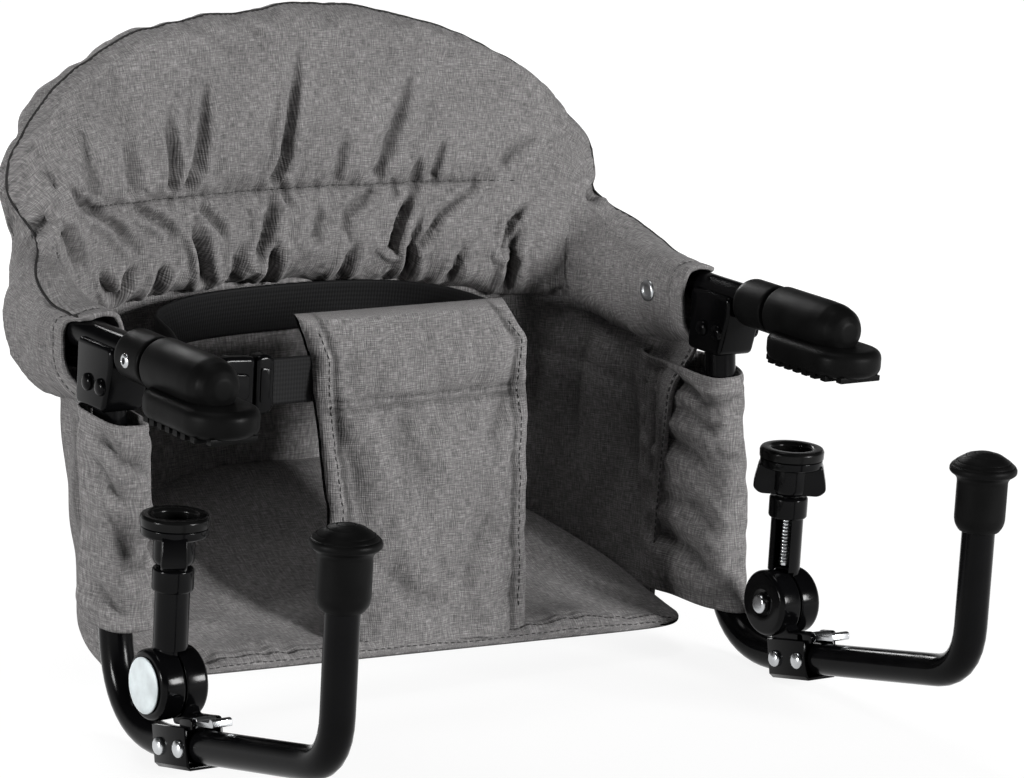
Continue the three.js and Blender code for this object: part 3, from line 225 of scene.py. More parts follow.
# Leg sleeves: how far they sit behind the leg's axis, half depth, highest and lowest edge, and their sagging
# folds as (angle, height) from the inner side over the front
LEG_SLEEVES = {
    "right": (22, 34, -19, -157, (
        (((-0.3, -28), (0.6, -39), (1.4, -36), (2.2, -28)), 6.5, 4),
        (((-0.5, -62), (0.3, -72), (1.0, -78)), 5.0, 4),
        (((1.9, -70), (1.3, -66), (0.8, -60)), 4.0, 4), (((0.2, -100), (1.0, -110), (1.6, -108)), 4.0, 5),
        (((-0.3, -122), (0.6, -134), (1.3, -138)), 4.5, 5), (((0.1, -46), (0.8, -52), (1.4, -48)), 3.5, 4))),
    "left": (2, 27, -11, -123, (
        (((2.6, -22), (1.5, -34), (0.6, -44)), 5.0, 5), (((2.8, -38), (1.9, -52), (1.2, -60)), 4.5, 5),
        (((0.5, -76), (1.4, -88), (2.4, -92)), 4.0, 6), (((2.9, -102), (2.0, -112), (1.2, -114)), 4.0, 5),
        (((2.3, -64), (1.6, -74), (0.9, -70)), 4.0, 5))),
}
LEG_HALF_W = 15.4


def linear(hex_colour):
    """Linear RGBA of an sRGB hex colour."""
    parts = [int(hex_colour[i:i + 2], 16) / 255 for i in (1, 3, 5)]
    return (*(c / 12.92 if c <= 0.04045 else ((c + 0.055) / 1.055) ** 2.4 for c in parts), 1.0)


def length_prop(name, description, millimetres):
    """A length property whose default is given in millimetres."""
    return bpy.props.FloatProperty(name=name, description=description, default=millimetres * MM, min=0.0,
                                   unit="LENGTH", precision=5)


def colour_prop(name, description, hex_colour):
    """A colour property whose default is an sRGB hex colour."""
    return bpy.props.FloatVectorProperty(name=name, description=description, default=linear(hex_colour),
                                         size=4, subtype="COLOR", min=0.0, max=1.0)


class ChairSizes(bpy.types.PropertyGroup):
    """Sizes of the sewing and of the fittings that a user may change."""
    stitch_pitch: length_prop("Stitch pitch", "From one stitch to the next", 4.2)
    stitch_length: length_prop("Stitch length", "Length of a stitch that shows", 3.2)
    thread_d: length_prop("Thread", "Diameter of the sewing thread", 0.75)
    hem_w: length_prop("Hem", "Width of the hems at the sleeves and the panel", 11.0)
    slub_w: length_prop("Slub width", "Width of a light or dark yarn, drawn coarse to show", 0.6)
    slub_l: length_prop("Slub length", "Length of a light or dark yarn", 6.5)
    thread_pitch: length_prop("Screw thread", "Pitch of the clamp screw's thread, drawn coarse to show", 2.0)
    floor_half: length_prop("Floor", "Half width of the floor", 9000.0)


class ChairColours(bpy.types.PropertyGroup):
    """Colours of the chair's materials."""
    yarn_dark: colour_prop("Dark yarn", "Darkest yarn of the canvas", "#5a5959")
    yarn_mid: colour_prop("Grey yarn", "Main yarn of the canvas", "#7f7d7d")
    yarn_light: colour_prop("Light yarn", "Lightest yarn of the canvas", "#aba9a8")
    thread: colour_prop("Thread", "Sewing thread", "#434242")
    seam: colour_prop("Seam thread", "Dark thread in the rim's seam", "#2a2929")
    steel: colour_prop("Powder coat", "Black coat of the steel", "#080809")
    plastic: colour_prop("Gloss plastic", "Black plastic of clamps and buckle", "#080809")
    rubber: colour_prop("Rubber", "Rubber of plugs and pads", "#0d0d0d")
    grip: colour_prop("Soft grip", "Soft skin of the arm grips", "#0f0f0f")
    zinc: colour_prop("Zinc", "Zinc-plated bolts, screws and levers", "#bcbec0")
    cap: colour_prop("Cap", "Pale caps on the hinges", "#dfe8ea")
    webbing: colour_prop("Webbing", "Black belt", "#0d0d0e")
    floor: colour_prop("Floor", "Floor", "#606060")


# Materials


def add_node(tree, kind, inputs=None, **settings):
    """Adds a node, sets its properties, and fills or links its inputs."""
    node = tree.nodes.new(kind)
    for name, value in settings.items():
        setattr(node, name, value)
    for name, value in (inputs or {}).items():
        if isinstance(value, bpy.types.NodeSocket):
            tree.links.new(value, node.inputs[name])
        else:
            node.inputs[name].default_value = value
    return node


def blank(name):
    """A new material with its tree and its main shader."""
    material = bpy.data.materials.new(name)
    material.use_nodes = True
    return material, material.node_tree, material.node_tree.nodes["Principled BSDF"]


def ramp(tree, factor, *stops):
    """Colour output of a ramp with (position, colour) stops."""
    node = add_node(tree, "ShaderNodeValToRGB", {"Fac": factor})
    elements = node.color_ramp.elements
    while len(elements) < len(stops):
        elements.new(0.5)
    for element, (position, colour) in zip(elements, stops):
        element.position = position
        element.color = colour
    return node.outputs["Color"]


def shade(colour, share):
    """A colour made darker or lighter by a share."""
    return (*(min(1.0, c * share) for c in colour[:3]), 1.0)


def calculate(tree, operation, *values):
    """Result of a sum on one or two values."""
    return add_node(tree, "ShaderNodeMath", dict(enumerate(values)), operation=operation).outputs[0]


def remap(tree, value, start, end, first, last):
    """A value's way from start to end, as a value from first to last."""
    node = add_node(tree, "ShaderNodeMapRange", {
        "Value": value, "From Min": start, "From Max": end, "To Min": first, "To Max": last})
    return node.outputs["Result"]


def multiply(tree, first, second):
    """Product of two colours."""
    return add_node(tree, "ShaderNodeMix", {0: 1.0, 6: first, 7: second}, data_type="RGBA",
                    blend_type="MULTIPLY").outputs[2]


def raise_grain(tree, shader, height, strength, distance):
    """Gives a shader fine relief from a height."""
    bump = add_node(tree, "ShaderNodeBump", {"Height": height, "Strength": strength, "Distance": distance})
    tree.links.new(bump.outputs["Normal"], shader.inputs["Normal"])


def melange_canvas():
    """Polyester canvas woven from mixed grey yarns: matt, with a cross-hatch of light and dark slubs."""
    material, tree, shader = blank("melange_canvas")
    colours = bpy.context.scene.chair_colours
    sizes = bpy.context.scene.chair_sizes
    weave = add_node(tree, "ShaderNodeUVMap", uv_map="weave").outputs["UV"]
    wide, fine = 1 / sizes.slub_l, 1 / sizes.slub_w
    noises = []
    for scale in ((wide, fine, 1), (fine, wide, 1)):
        turned_map = add_node(tree, "ShaderNodeMapping", {"Vector": weave, "Scale": scale})
        noises.append(add_node(tree, "ShaderNodeTexNoise", {
            "Vector": turned_map.outputs["Vector"], "Scale": 1.0, "Detail": 3.0, "Roughness": 0.65}))
    yarns = calculate(tree, "ADD", noises[0].outputs["Fac"], noises[1].outputs["Fac"])
    half = calculate(tree, "MULTIPLY", yarns, 0.5)
    dyed = ramp(tree, half, (0.36, colours.yarn_dark[:]), (0.5, colours.yarn_mid[:]),
                (0.64, colours.yarn_light[:]))
    # Uneven dye and handling, patches of about 45 mm
    patches = add_node(tree, "ShaderNodeTexNoise", {"Vector": weave, "Scale": 1 / 0.045, "Detail": 2.0})
    tone = ramp(tree, patches.outputs["Fac"], (0.3, (0.86, 0.86, 0.86, 1)), (0.7, (1, 1, 1, 1)))
    mixed = multiply(tree, dyed, tone)
    # Painted shade in the creases and along the seams: the fold attribute of each piece darkens the canvas,
    # to about a sixth at its deepest
    fold = add_node(tree, "ShaderNodeAttribute", attribute_name="fold").outputs["Fac"]
    wear_and_crease_shade = ramp(tree, fold, (0.0, (1, 1, 1, 1)), (1.0, (0.16, 0.16, 0.16, 1)))
    tree.links.new(multiply(tree, mixed, wear_and_crease_shade), shader.inputs["Base Color"])
    # Plain weave, 1.1 mm between threads, drawn about twice as coarse as the real cloth so that it shows
    period = WAVE_PERIOD / 0.0011
    bands = [add_node(tree, "ShaderNodeTexWave", {"Vector": weave, "Scale": period, "Distortion": 0.6},
                      bands_direction=axis) for axis in ("X", "Y")]
    cross = calculate(tree, "ADD", bands[0].outputs["Fac"], bands[1].outputs["Fac"])
    raise_grain(tree, shader, calculate(tree, "ADD", cross, half), 0.35, 0.0004)
    shader.inputs["Roughness"].default_value = 0.88
    shader.inputs["Specular IOR Level"].default_value = 0.05
    shader.inputs["Sheen Weight"].default_value = 0.06
    shader.inputs["Sheen Roughness"].default_value = 0.45
    return material


def skin(name, colour, rough, grain, relief, specular, metallic):
    """A coated, moulded or plated skin: grain in metres, uneven gloss, and a faint change of tone."""
    material, tree, shader = blank(name)
    place = add_node(tree, "ShaderNodeTexCoord").outputs["Object"]
    fine = add_node(tree, "ShaderNodeTexNoise", {"Vector": place, "Scale": 1 / grain, "Detail": 3.0})
    # Handling and dust, patches of about 18 mm
    wear_and_crease_shade = add_node(tree, "ShaderNodeTexNoise", {"Vector": place, "Scale": 1 / 0.018, "Detail": 4.0})
    tone = ramp(tree, wear_and_crease_shade.outputs["Fac"], (0.35, shade(colour, 0.82)), (0.65, shade(colour, 1.2)))
    tree.links.new(tone, shader.inputs["Base Color"])
    gloss = remap(tree, wear_and_crease_shade.outputs["Fac"], 0.3, 0.7, rough * 0.8, rough * 1.3)
    tree.links.new(gloss, shader.inputs["Roughness"])
    raise_grain(tree, shader, fine.outputs["Fac"], relief, 0.0003)
    shader.inputs["Metallic"].default_value = metallic
    shader.inputs["Specular IOR Level"].default_value = specular
    return material


def nylon_webbing():
    """Woven nylon webbing: dull black, ribbed along and across."""
    material, tree, shader = blank("nylon_webbing")
    colour = bpy.context.scene.chair_colours.webbing[:]
    weave = add_node(tree, "ShaderNodeUVMap", uv_map="weave").outputs["UV"]
    # Ribs 1.8 mm apart along the belt, and 2.6 mm across it
    ribs = [add_node(tree, "ShaderNodeTexWave", {
        "Vector": weave, "Scale": WAVE_PERIOD / pitch, "Distortion": 0.4}, bands_direction=axis)
        for axis, pitch in (("X", 0.0018), ("Y", 0.0026))]
    height = calculate(tree, "ADD", ribs[0].outputs["Fac"], ribs[1].outputs["Fac"])
    # The tone follows the ribs: painted shade in their hollows and a painted highlight on their tops
    tone = ramp(tree, height, (0.2, shade(colour, 0.7)), (0.9, shade(colour, 1.3)))
    tree.links.new(tone, shader.inputs["Base Color"])
    raise_grain(tree, shader, height, 0.3, 0.0003)
    shader.inputs["Roughness"].default_value = 0.7
    shader.inputs["Specular IOR Level"].default_value = 0.2
    return material


def stuff(name):
    """A material by its name, made on first use."""
    known = bpy.data.materials.get(name)
    if known:
        return known
    colours = bpy.context.scene.chair_colours
    if name == "melange_canvas":
        return melange_canvas()
    if name == "nylon_webbing":
        return nylon_webbing()
    # Colour, roughness, grain in metres, relief, specular level, metallic. Powder coat has a fine
    # orange peel, the plastics are moulded glossy, rubber and soft grips are moulded matt, the pressure
    # rings come out of a polished mould, zinc is barrel plated, and the thread is spun polyester
    table = {
        "powder_coat": (colours.steel, 0.16, 0.0016, 0.05, 0.075, 0),
        "gloss_plastic": (colours.plastic, 0.14, 0.0012, 0.05, 0.1, 0),
        "moulded_rubber": (colours.rubber, 0.45, 0.0007, 0.2, 0.045, 0),
        "polished_rubber": (colours.rubber, 0.2, 0.0012, 0.05, 0.12, 0),
        "soft_touch_rubber": (colours.grip, 0.42, 0.0006, 0.15, 0.035, 0),
        "zinc_plate": (colours.zinc, 0.26, 0.0010, 0.12, 0.5, 1),
        "pale_plastic": (colours.cap, 0.35, 0.0010, 0.05, 0.5, 0),
        "spun_thread": (colours.thread, 0.7, 0.0005, 0.3, 0.2, 0),
        "dark_thread": (colours.seam, 0.8, 0.0005, 0.3, 0.2, 0),
    }
    colour, rough, grain, relief, specular, metallic = table[name]
    return skin(name, colour[:], rough, grain, relief, specular, metallic)


# Drawing tools


def rounded(points, radius, steps=3, closed=True):
    """A flat line of points with its corners rounded."""
    result = []
    count = len(points)
    for i, point in enumerate(points):
        here = Vector(point)
        if not closed and i in (0, count - 1):
            result.append(here)
            continue
        before = Vector(points[i - 1]) - here
        after = Vector(points[(i + 1) % count]) - here
        reach = min(radius, before.length * 0.49, after.length * 0.49)
        start = here + before.normalized() * reach
        end = here + after.normalized() * reach
        for k in range(steps + 1):
            t = k / steps
            result.append(start.lerp(here, t).lerp(here.lerp(end, t), t))
    return result


def arc(centre, radius, start, end, steps):
    """Points of an arc, with its angles in degrees."""
    angles = [math.radians(start + (end - start) * i / steps) for i in range(steps + 1)]
    return [(centre[0] + radius * math.cos(a), centre[1] + radius * math.sin(a)) for a in angles]


def turn(bm, profile, place=Matrix(), steps=40):
    """Turns a profile of (radius, height) points about Z, then puts the new shape in place."""
    verts = [bm.verts.new((r, 0, z)) for r, z in profile]
    edges = [bm.edges.new(pair) for pair in zip(verts, verts[1:])]
    before = set(bm.verts) - set(verts)
    bmesh.ops.spin(bm, geom=verts + edges, cent=(0, 0, 0), axis=(0, 0, 1), angle=math.tau, steps=steps,
                   use_merge=True)
    new = [v for v in bm.verts if v not in before]
    bmesh.ops.remove_doubles(bm, verts=new, dist=0.001)
    bmesh.ops.transform(bm, matrix=place, verts=[v for v in bm.verts if v not in before])


def extrude(bm, outline, depth, place=Matrix(), bevel=0.0, segments=3):
    """Extrudes a closed flat outline along Z to both sides, rounds its edges and puts it in place."""
    before = set(bm.verts)
    verts = [bm.verts.new((p[0], p[1], -depth / 2)) for p in outline]
    face = bm.faces.new(verts)
    grown = bmesh.ops.extrude_face_region(bm, geom=[face])["geom"]
    top = [g for g in grown if isinstance(g, bmesh.types.BMVert)]
    bmesh.ops.translate(bm, vec=(0, 0, depth), verts=top)
    new = [v for v in bm.verts if v not in before]
    if bevel:
        rims = [e for e in bm.edges
                if e.verts[0] not in before and abs(e.verts[0].co.z - e.verts[1].co.z) < 1e-6]
        bmesh.ops.bevel(bm, geom=rims, offset=bevel, offset_type="OFFSET", affect="EDGES", segments=segments,
                        profile=0.5, material=-1, clamp_overlap=True)
        new = [v for v in bm.verts if v not in before]
    bmesh.ops.transform(bm, matrix=place, verts=new)


def axes(x, y, z, origin=(0, 0, 0)):
    """A placing matrix from three axes and an origin."""
    return Matrix.Translation(origin) @ Matrix((x, y, z)).transposed().to_4x4()


def side_plane(x):
    """Places a drawing of (y, z) with its depth along X."""
    return Matrix.Translation((x, 0, 0)) @ axes((0, 1, 0), (0, 0, 1), (1, 0, 0))


def front_plane():
    """Places a drawing of (x, z) with its depth along Y, to the front."""
    return axes((1, 0, 0), (0, 0, 1), (0, -1, 0))


def along_x(x, y, z, sign):
    """Places a turned shape with its axis along X: to the right for sign 1, to the left for -1."""
    return Matrix.Translation((x, y, z)) @ Matrix.Rotation(sign * math.pi / 2, 4, "Y")


def travelled(points):
    """Length travelled at each point of a line."""
    return np.concatenate([[0], np.cumsum(np.linalg.norm(np.diff(points, axis=0), axis=1))])


def at_length(s, lengths, rows):
    """Rows of three values at lengths along a line."""
    return np.stack([np.interp(s, lengths, rows[:, k]) for k in range(3)], axis=1)


def resample(points, spacing):
    """Points at an even spacing along a line."""
    points = np.asarray(points, float)
    lengths = travelled(points)
    count = max(2, int(round(lengths[-1] / spacing)))
    at = np.linspace(0, lengths[-1], count + 1)
    return at_length(at, lengths, points)


def blend(p0, p1, p2, p3, t):
    """A point of a smooth line between the second and the third of four knots."""
    return 0.5 * (2 * p1 + (p2 - p0) * t + (2 * p0 - 5 * p1 + 4 * p2 - p3) * t ** 2
                  + (3 * p1 - p0 - 3 * p2 + p3) * t ** 3)


def spline(knots, per_span=16):
    """A smooth line through knots of any width."""
    knots = np.asarray(knots, float)
    padded = np.concatenate([[2 * knots[0] - knots[1]], knots, [2 * knots[-1] - knots[-2]]])
    result = []
    for p0, p1, p2, p3 in zip(padded, padded[1:], padded[2:], padded[3:]):
        for k in range(per_span):
            result.append(blend(p0, p1, p2, p3, k / per_span))
    return np.array(result + [knots[-1]])


def carried(points, side):
    """Tangents, sides and ups along a line, carried without twist from a first side."""
    tangents = np.gradient(points, axis=0)
    tangents /= np.linalg.norm(tangents, axis=1)[:, None]
    sides = []
    current = np.asarray(side, float)
    for tangent in tangents:
        current = current - tangent * np.dot(current, tangent)
        current = current / np.linalg.norm(current)
        sides.append(current)
    sides = np.array(sides)
    return tangents, sides, np.cross(tangents, sides)


def sweep(bm, ring, points, side):
    """Extrudes a closed ring of (a, b) points along a line and closes its ends."""
    points = np.asarray(points, float)
    tangents, sides, ups = carried(points, side)
    places = [axes(s, u, t, Vector(p)) for p, s, u, t in zip(points, sides, ups, tangents)]
    verts = [bm.verts.new(places[0] @ Vector((a, b, 0))) for a, b in ring]
    edges = [bm.edges.new((verts[i - 1], verts[i])) for i in range(len(verts))]
    first = list(edges)
    for before, after in zip(places, places[1:]):
        grown = bmesh.ops.extrude_edge_only(bm, edges=edges)["geom"]
        moved = [g for g in grown if isinstance(g, bmesh.types.BMVert)]
        edges = [g for g in grown if isinstance(g, bmesh.types.BMEdge)]
        edges = [e for e in edges if e.verts[0] in set(moved) and e.verts[1] in set(moved)]
        bmesh.ops.transform(bm, matrix=after @ before.inverted(), verts=moved)
    for loop in (first, edges):
        bmesh.ops.contextual_create(bm, geom=loop)


def circle(radius, count=28):
    """Ring of points for a round section."""
    angles = [math.tau * i / count for i in range(count)]
    return [(radius * math.cos(a), radius * math.sin(a)) for a in angles]


def bent(corners, radii, steps=14):
    """A line through corners whose bends start and end where an arc of the radius would."""
    corners = [Vector(c) for c in corners]
    line = [corners[0]]
    for i, radius in enumerate(radii, 1):
        before = (corners[i - 1] - corners[i]).normalized()
        after = (corners[i + 1] - corners[i]).normalized()
        reach = radius / math.tan(before.angle(after) / 2)
        start, end = corners[i] + before * reach, corners[i] + after * reach
        for k in range(steps + 1):
            t = k / steps
            line.append(start.lerp(corners[i], t).lerp(corners[i].lerp(end, t), t))
    return line + [corners[-1]]


def hook_line(x):
    """Axis of a hook tube, from its plug to the leg's top."""
    return [(x, y, z) for y, z in bent(HOOK_AXIS, HOOK_BENDS)]


def run_point(x, along_run, above):
    """A point given along the lower run from the clamp's bracket and above the run's axis."""
    start_y, start_z = HOOK_AXIS[1]
    z = start_z + math.tan(RUN_SLOPE) * (BRACKET_Y - start_y)
    cos, sin = math.cos(RUN_SLOPE), math.sin(RUN_SLOPE)
    return x, BRACKET_Y + along_run * cos - above * sin, z + along_run * sin + above * cos


def on_run(x):
    """Places a drawing on the lower run at the clamp's bracket."""
    return Matrix.Translation(run_point(x, 0, 0)) @ Matrix.Rotation(RUN_SLOPE, 4, "X")


def placed(bm, name):
    """Makes an object of a drawing and puts it in the scene."""
    mesh = bpy.data.meshes.new(name)
    bm.to_mesh(mesh)
    bm.free()
    obj = bpy.data.objects.new(name, mesh)
    bpy.context.scene.collection.objects.link(obj)
    return obj


def settle_piece(obj, material, body, nodes):
    """Gives a piece its material, its body and the nodes it stands for."""
    obj.data.materials.append(stuff(material))
    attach(obj, body)
    if nodes:
        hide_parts(*nodes)
    return obj


def piece(bm, name, material, nodes=(), body=FRAME, sharp=38):
    """Makes a finished hard piece from a drawing in millimetres."""
    bmesh.ops.remove_doubles(bm, verts=bm.verts, dist=0.002)
    bmesh.ops.recalc_face_normals(bm, faces=bm.faces)
    bmesh.ops.scale(bm, vec=(MM, MM, MM), verts=bm.verts)
    obj = placed(bm, name)
    obj.data.shade_smooth()
    obj.data.set_sharp_from_angle(angle=math.radians(sharp))
    return settle_piece(obj, material, body, nodes)


def turned(name, material, profile, radius, place, steps, nodes=(), body=FRAME, sharp=38):
    """Makes a finished piece by turning one profile with rounded corners."""
    bm = bmesh.new()
    turn(bm, rounded(profile, radius, closed=False), place, steps)
    return piece(bm, name, material, nodes, body, sharp)


def cloth(name, columns, rows, shape, nodes=(), fill=None, material="melange_canvas", body=FRAME, levels=1,
          thick=0.0, sewn=None):
    """A grid of cloth laid by a function of u and v, with its thread coordinates as a UV map in metres."""
    bm = bmesh.new()
    bmesh.ops.create_grid(bm, x_segments=columns, y_segments=rows, size=0.5)
    flat = np.array([v.co[:2] for v in bm.verts]) + 0.5
    # A shape may give a third array: painted shade for its creases and seams, kept in the vertex attribute
    # fold that darkens the canvas
    points, threads, *folds = shape(flat[:, 0], flat[:, 1])
    painted_shade = folds[0] if folds else np.zeros(len(flat))
    weave = bm.loops.layers.uv.new("weave")
    folded = bm.verts.layers.float.new("fold")
    held = bm.verts.layers.float.new("sewn")
    holds = sewn(flat[:, 0], flat[:, 1]) if sewn else np.zeros(len(flat))
    for vert, point, thread, hold, depth in zip(bm.verts, points * MM, threads * MM, holds, painted_shade):
        vert.co = point
        vert[held] = hold
        vert[folded] = depth
        for loop in vert.link_loops:
            loop[weave].uv = thread
    bmesh.ops.remove_doubles(bm, verts=bm.verts, dist=0.02 * MM)
    bmesh.ops.dissolve_degenerate(bm, dist=0.001 * MM, edges=bm.edges)
    bmesh.ops.recalc_face_normals(bm, faces=bm.faces)
    obj = placed(bm, name)
    obj.data.shade_smooth()
    if sewn:
        settle_cloth(obj)
    if thick:
        wall = obj.modifiers.new("thickness", "SOLIDIFY")
        wall.thickness = thick * MM
        wall.offset = 0.0
    if levels:
        smooth = obj.modifiers.new("smooth", "SUBSURF")
        smooth.levels = levels
        smooth.render_levels = levels
    settle_piece(obj, material, body, nodes)
    return obj


def settle_cloth(obj):
    """Lets a filled piece settle as cloth with a little to spare, held where it is sewn."""
    mesh = obj.data
    count = len(mesh.vertices)
    holds = np.empty(count)
    mesh.attributes["sewn"].data.foreach_get("value", holds)
    group = obj.vertex_groups.new(name="held")
    for index, hold in enumerate(holds):
        group.add([index], float(hold), "REPLACE")
    before = np.empty(count * 3)
    mesh.vertices.foreach_get("co", before)
    modifier = obj.modifiers.new("settle", "CLOTH")
    settings = modifier.settings
    settings.quality = 4
    settings.vertex_group_mass = "held"
    settings.use_pressure = True
    settings.uniform_pressure_force = 1.2
    settings.shrink_min = -0.035
    settings.tension_stiffness = 12
    settings.compression_stiffness = 12
    settings.shear_stiffness = 4
    settings.bending_stiffness = 1.2
    settings.effector_weights.gravity = 0
    modifier.collision_settings.use_collision = False
    modifier.point_cache.frame_start = 1
    modifier.point_cache.frame_end = SETTLE_FRAMES
    for step in range(1, SETTLE_FRAMES + 1):
        bpy.context.scene.frame_set(step)
    seen = obj.evaluated_get(bpy.context.evaluated_depsgraph_get())
    after = np.empty(count * 3)
    seen.data.vertices.foreach_get("co", after)
    move = (after - before).reshape(-1, 3)
    size = np.linalg.norm(move, axis=1)[:, None]
    move *= np.minimum(1, SETTLE_CAP * MM / np.maximum(size, 1e-9))
    obj.modifiers.remove(modifier)
    obj.vertex_groups.remove(group)
    bpy.context.scene.frame_set(1)
    mesh.vertices.foreach_set("co", before + move.ravel())
    mesh.update()
    normals = np.array([vert.normal for vert in mesh.vertices])
    settled = (before.reshape(-1, 3) + move) / MM
    mesh.vertices.foreach_set("co", over_tube(settled, normals, FRAME_LINE, TUBE_R + 0.35).ravel() * MM)
    mesh.update()


def stitches(name, rows, body=FRAME, lift=0.0):
    """Rows of sewn stitches; each row is a shape with the u and v that it follows and its outward way."""
    sizes = bpy.context.scene.chair_sizes
    pitch, length, radius = sizes.stitch_pitch / MM, sizes.stitch_length / MM, sizes.thread_d / MM / 2
    bm = bmesh.new()
    for shape, u, v, outward in rows:
        line = shape(u, v)[0]
        step = 0.004
        over_u = shape(np.clip(u + step, 0, 1), v)[0] - shape(np.clip(u - step, 0, 1), v)[0]
        over_v = shape(u, np.clip(v + step, 0, 1))[0] - shape(u, np.clip(v - step, 0, 1))[0]
        normals = np.cross(over_u, over_v)
        normals *= np.sign(normals @ np.asarray(outward, float))[:, None]
        both = np.concatenate([line, normals], axis=1)
        steps = travelled(line)
        for at in np.arange(pitch / 2, steps[-1], pitch):
            here = np.array([np.interp(at, steps, both[:, k]) for k in range(6)])
            ahead = np.array([np.interp(at + 0.5, steps, both[:, k]) for k in range(3)])
            behind = np.array([np.interp(at - 0.5, steps, both[:, k]) for k in range(3)])
            way = Vector(ahead - behind).normalized()
            up = Vector(here[3:]).normalized()
            across = up.cross(way).normalized()
            seat = Vector(here[:3]) + up * (lift + radius * 0.35)
            place = axes(way * length / 2, across * radius, up * radius, seat)
            bmesh.ops.create_uvsphere(bm, u_segments=6, v_segments=5, radius=1.0, matrix=place)
    return piece(bm, name, "spun_thread", (), body, sharp=80)


def smooth_step(value, low, high):
    """0 below low, 1 above high, and a smooth rise between."""
    t = np.clip((value - low) / (high - low), 0, 1)
    return t * t * (3 - 2 * t)


def waves(size, seed, *coords):
    """Soft uneven waves over one or more coordinates, about one for each size, mostly between -1 and 1."""
    rng = np.random.default_rng(seed)
    total = np.zeros_like(coords[0])
    for _ in range(7):
        way = rng.normal(size=len(coords))
        way /= np.linalg.norm(way)
        pace = math.tau / (size * rng.uniform(0.7, 1.7))
        total += np.sin(pace * sum(w * c for w, c in zip(way, coords)) + rng.uniform(0, math.tau))
    return total / 3.2


def valley(distance, width):
    """Section of a crease: a sharp valley between two soft shoulders."""
    d = np.abs(distance) / width
    return np.exp(-d ** 1.3) - 0.32 * np.exp(-((d - 2.3) / 1.1) ** 2)


def crease(a, b, line, depth, width):
    """Depth of a crease along a flat line, strongest at the line's start."""
    line = np.asarray(line, float)
    steps = np.linalg.norm(np.diff(line, axis=0), axis=1)
    nearest = np.full_like(a, 1e6)
    travel = np.zeros_like(a)
    done = 0.0
    for start, end, step in zip(line, line[1:], steps):
        way = (end - start) / step
        t = np.clip((a - start[0]) * way[0] + (b - start[1]) * way[1], 0, step)
        d = np.hypot(a - start[0] - way[0] * t, b - start[1] - way[1] * t)
        closer = d < nearest
        nearest = np.where(closer, d, nearest)
        travel = np.where(closer, done + t, travel)
        done += step
    fade = 1 - smooth_step(travel / done, 0.45, 1.0)
    return depth * valley(nearest, width) * fade


# Shapes of the sewn parts


def back_y(x, z):
    """Middle of the back hoop in Y."""
    return BACK_Y - BACK_CURVE * (np.abs(x) / BACK_HALF_W) ** BACK_CURVE_POWER + BACK_LEAN * (z - ARCH_Z)


def frame_line():
    """Axis of the upper tube: right arm, back hoop, left arm."""
    foot = (HOOP_HALF_W, float(back_y(HOOP_HALF_W, HOOP_BASE_Z)), HOOP_BASE_Z)
    bend = [(SIDE_X + (foot[0] - SIDE_X) * a, 120 + (foot[1] - 120) * b, ARM_Z + (foot[2] - ARM_Z) * c)
            for a, b, c in ((0.05, 0.38, 0.04), (0.3, 0.7, 0.19), (0.7, 0.92, 0.5))]
    right = [(SIDE_X, ARM_FRONT_Y, ARM_Z), (SIDE_X, GRIP_REAR_Y, ARM_Z), (SIDE_X, 120, ARM_Z)] + bend
    hoop = []
    for i in range(13):
        angle = math.pi * i / 12
        x, z = HOOP_HALF_W * math.cos(angle), HOOP_BASE_Z + HOOP_RISE * math.sin(angle)
        hoop.append((x, float(back_y(x, z)), z))
    left = [(-x, y, z) for x, y, z in reversed(right)]
    return spline(right + hoop + left)


def over_tube(points, normals, line, radius):
    """Lifts cloth along its normals where it would sink into a tube."""
    line = np.asarray(line, float)
    reach = np.broadcast_to(radius, len(points))
    lifted = points.copy()
    for _ in range(LIFT_PASSES):
        for part in np.array_split(np.arange(len(points)), len(points) // 4000 + 1):
            gaps = lifted[part][:, None, :] - line[None, :, :]
            nearest = (gaps ** 2).sum(axis=2).argmin(axis=1)
            off = gaps[np.arange(len(part)), nearest]
            rise = (off * normals[part]).sum(axis=1)
            sunk = reach[part] ** 2 - (off ** 2).sum(axis=1)
            lift = np.where(sunk > 0, np.sqrt(rise ** 2 + np.maximum(sunk, 0)) - rise, 0)
            lifted[part] += normals[part] * lift[:, None]
    return lifted


def back_rows():
    """Stations of the whole back, right hem to left hem, with their lengths along it."""
    half = np.array(BACK_STATIONS, float)
    mirrored = half[-2::-1] * np.array([-1, 1, 1, 1, 1, 1, 1, -1, 1, 1])
    rows = spline(np.concatenate([half, mirrored]), 14)
    return rows, travelled(rows[:, :2])


FRAME_LINE = np.array(resample(frame_line(), 4), float)
BACK_ROWS, BACK_LENGTHS = back_rows()
BACK_END = BACK_LENGTHS[-1]


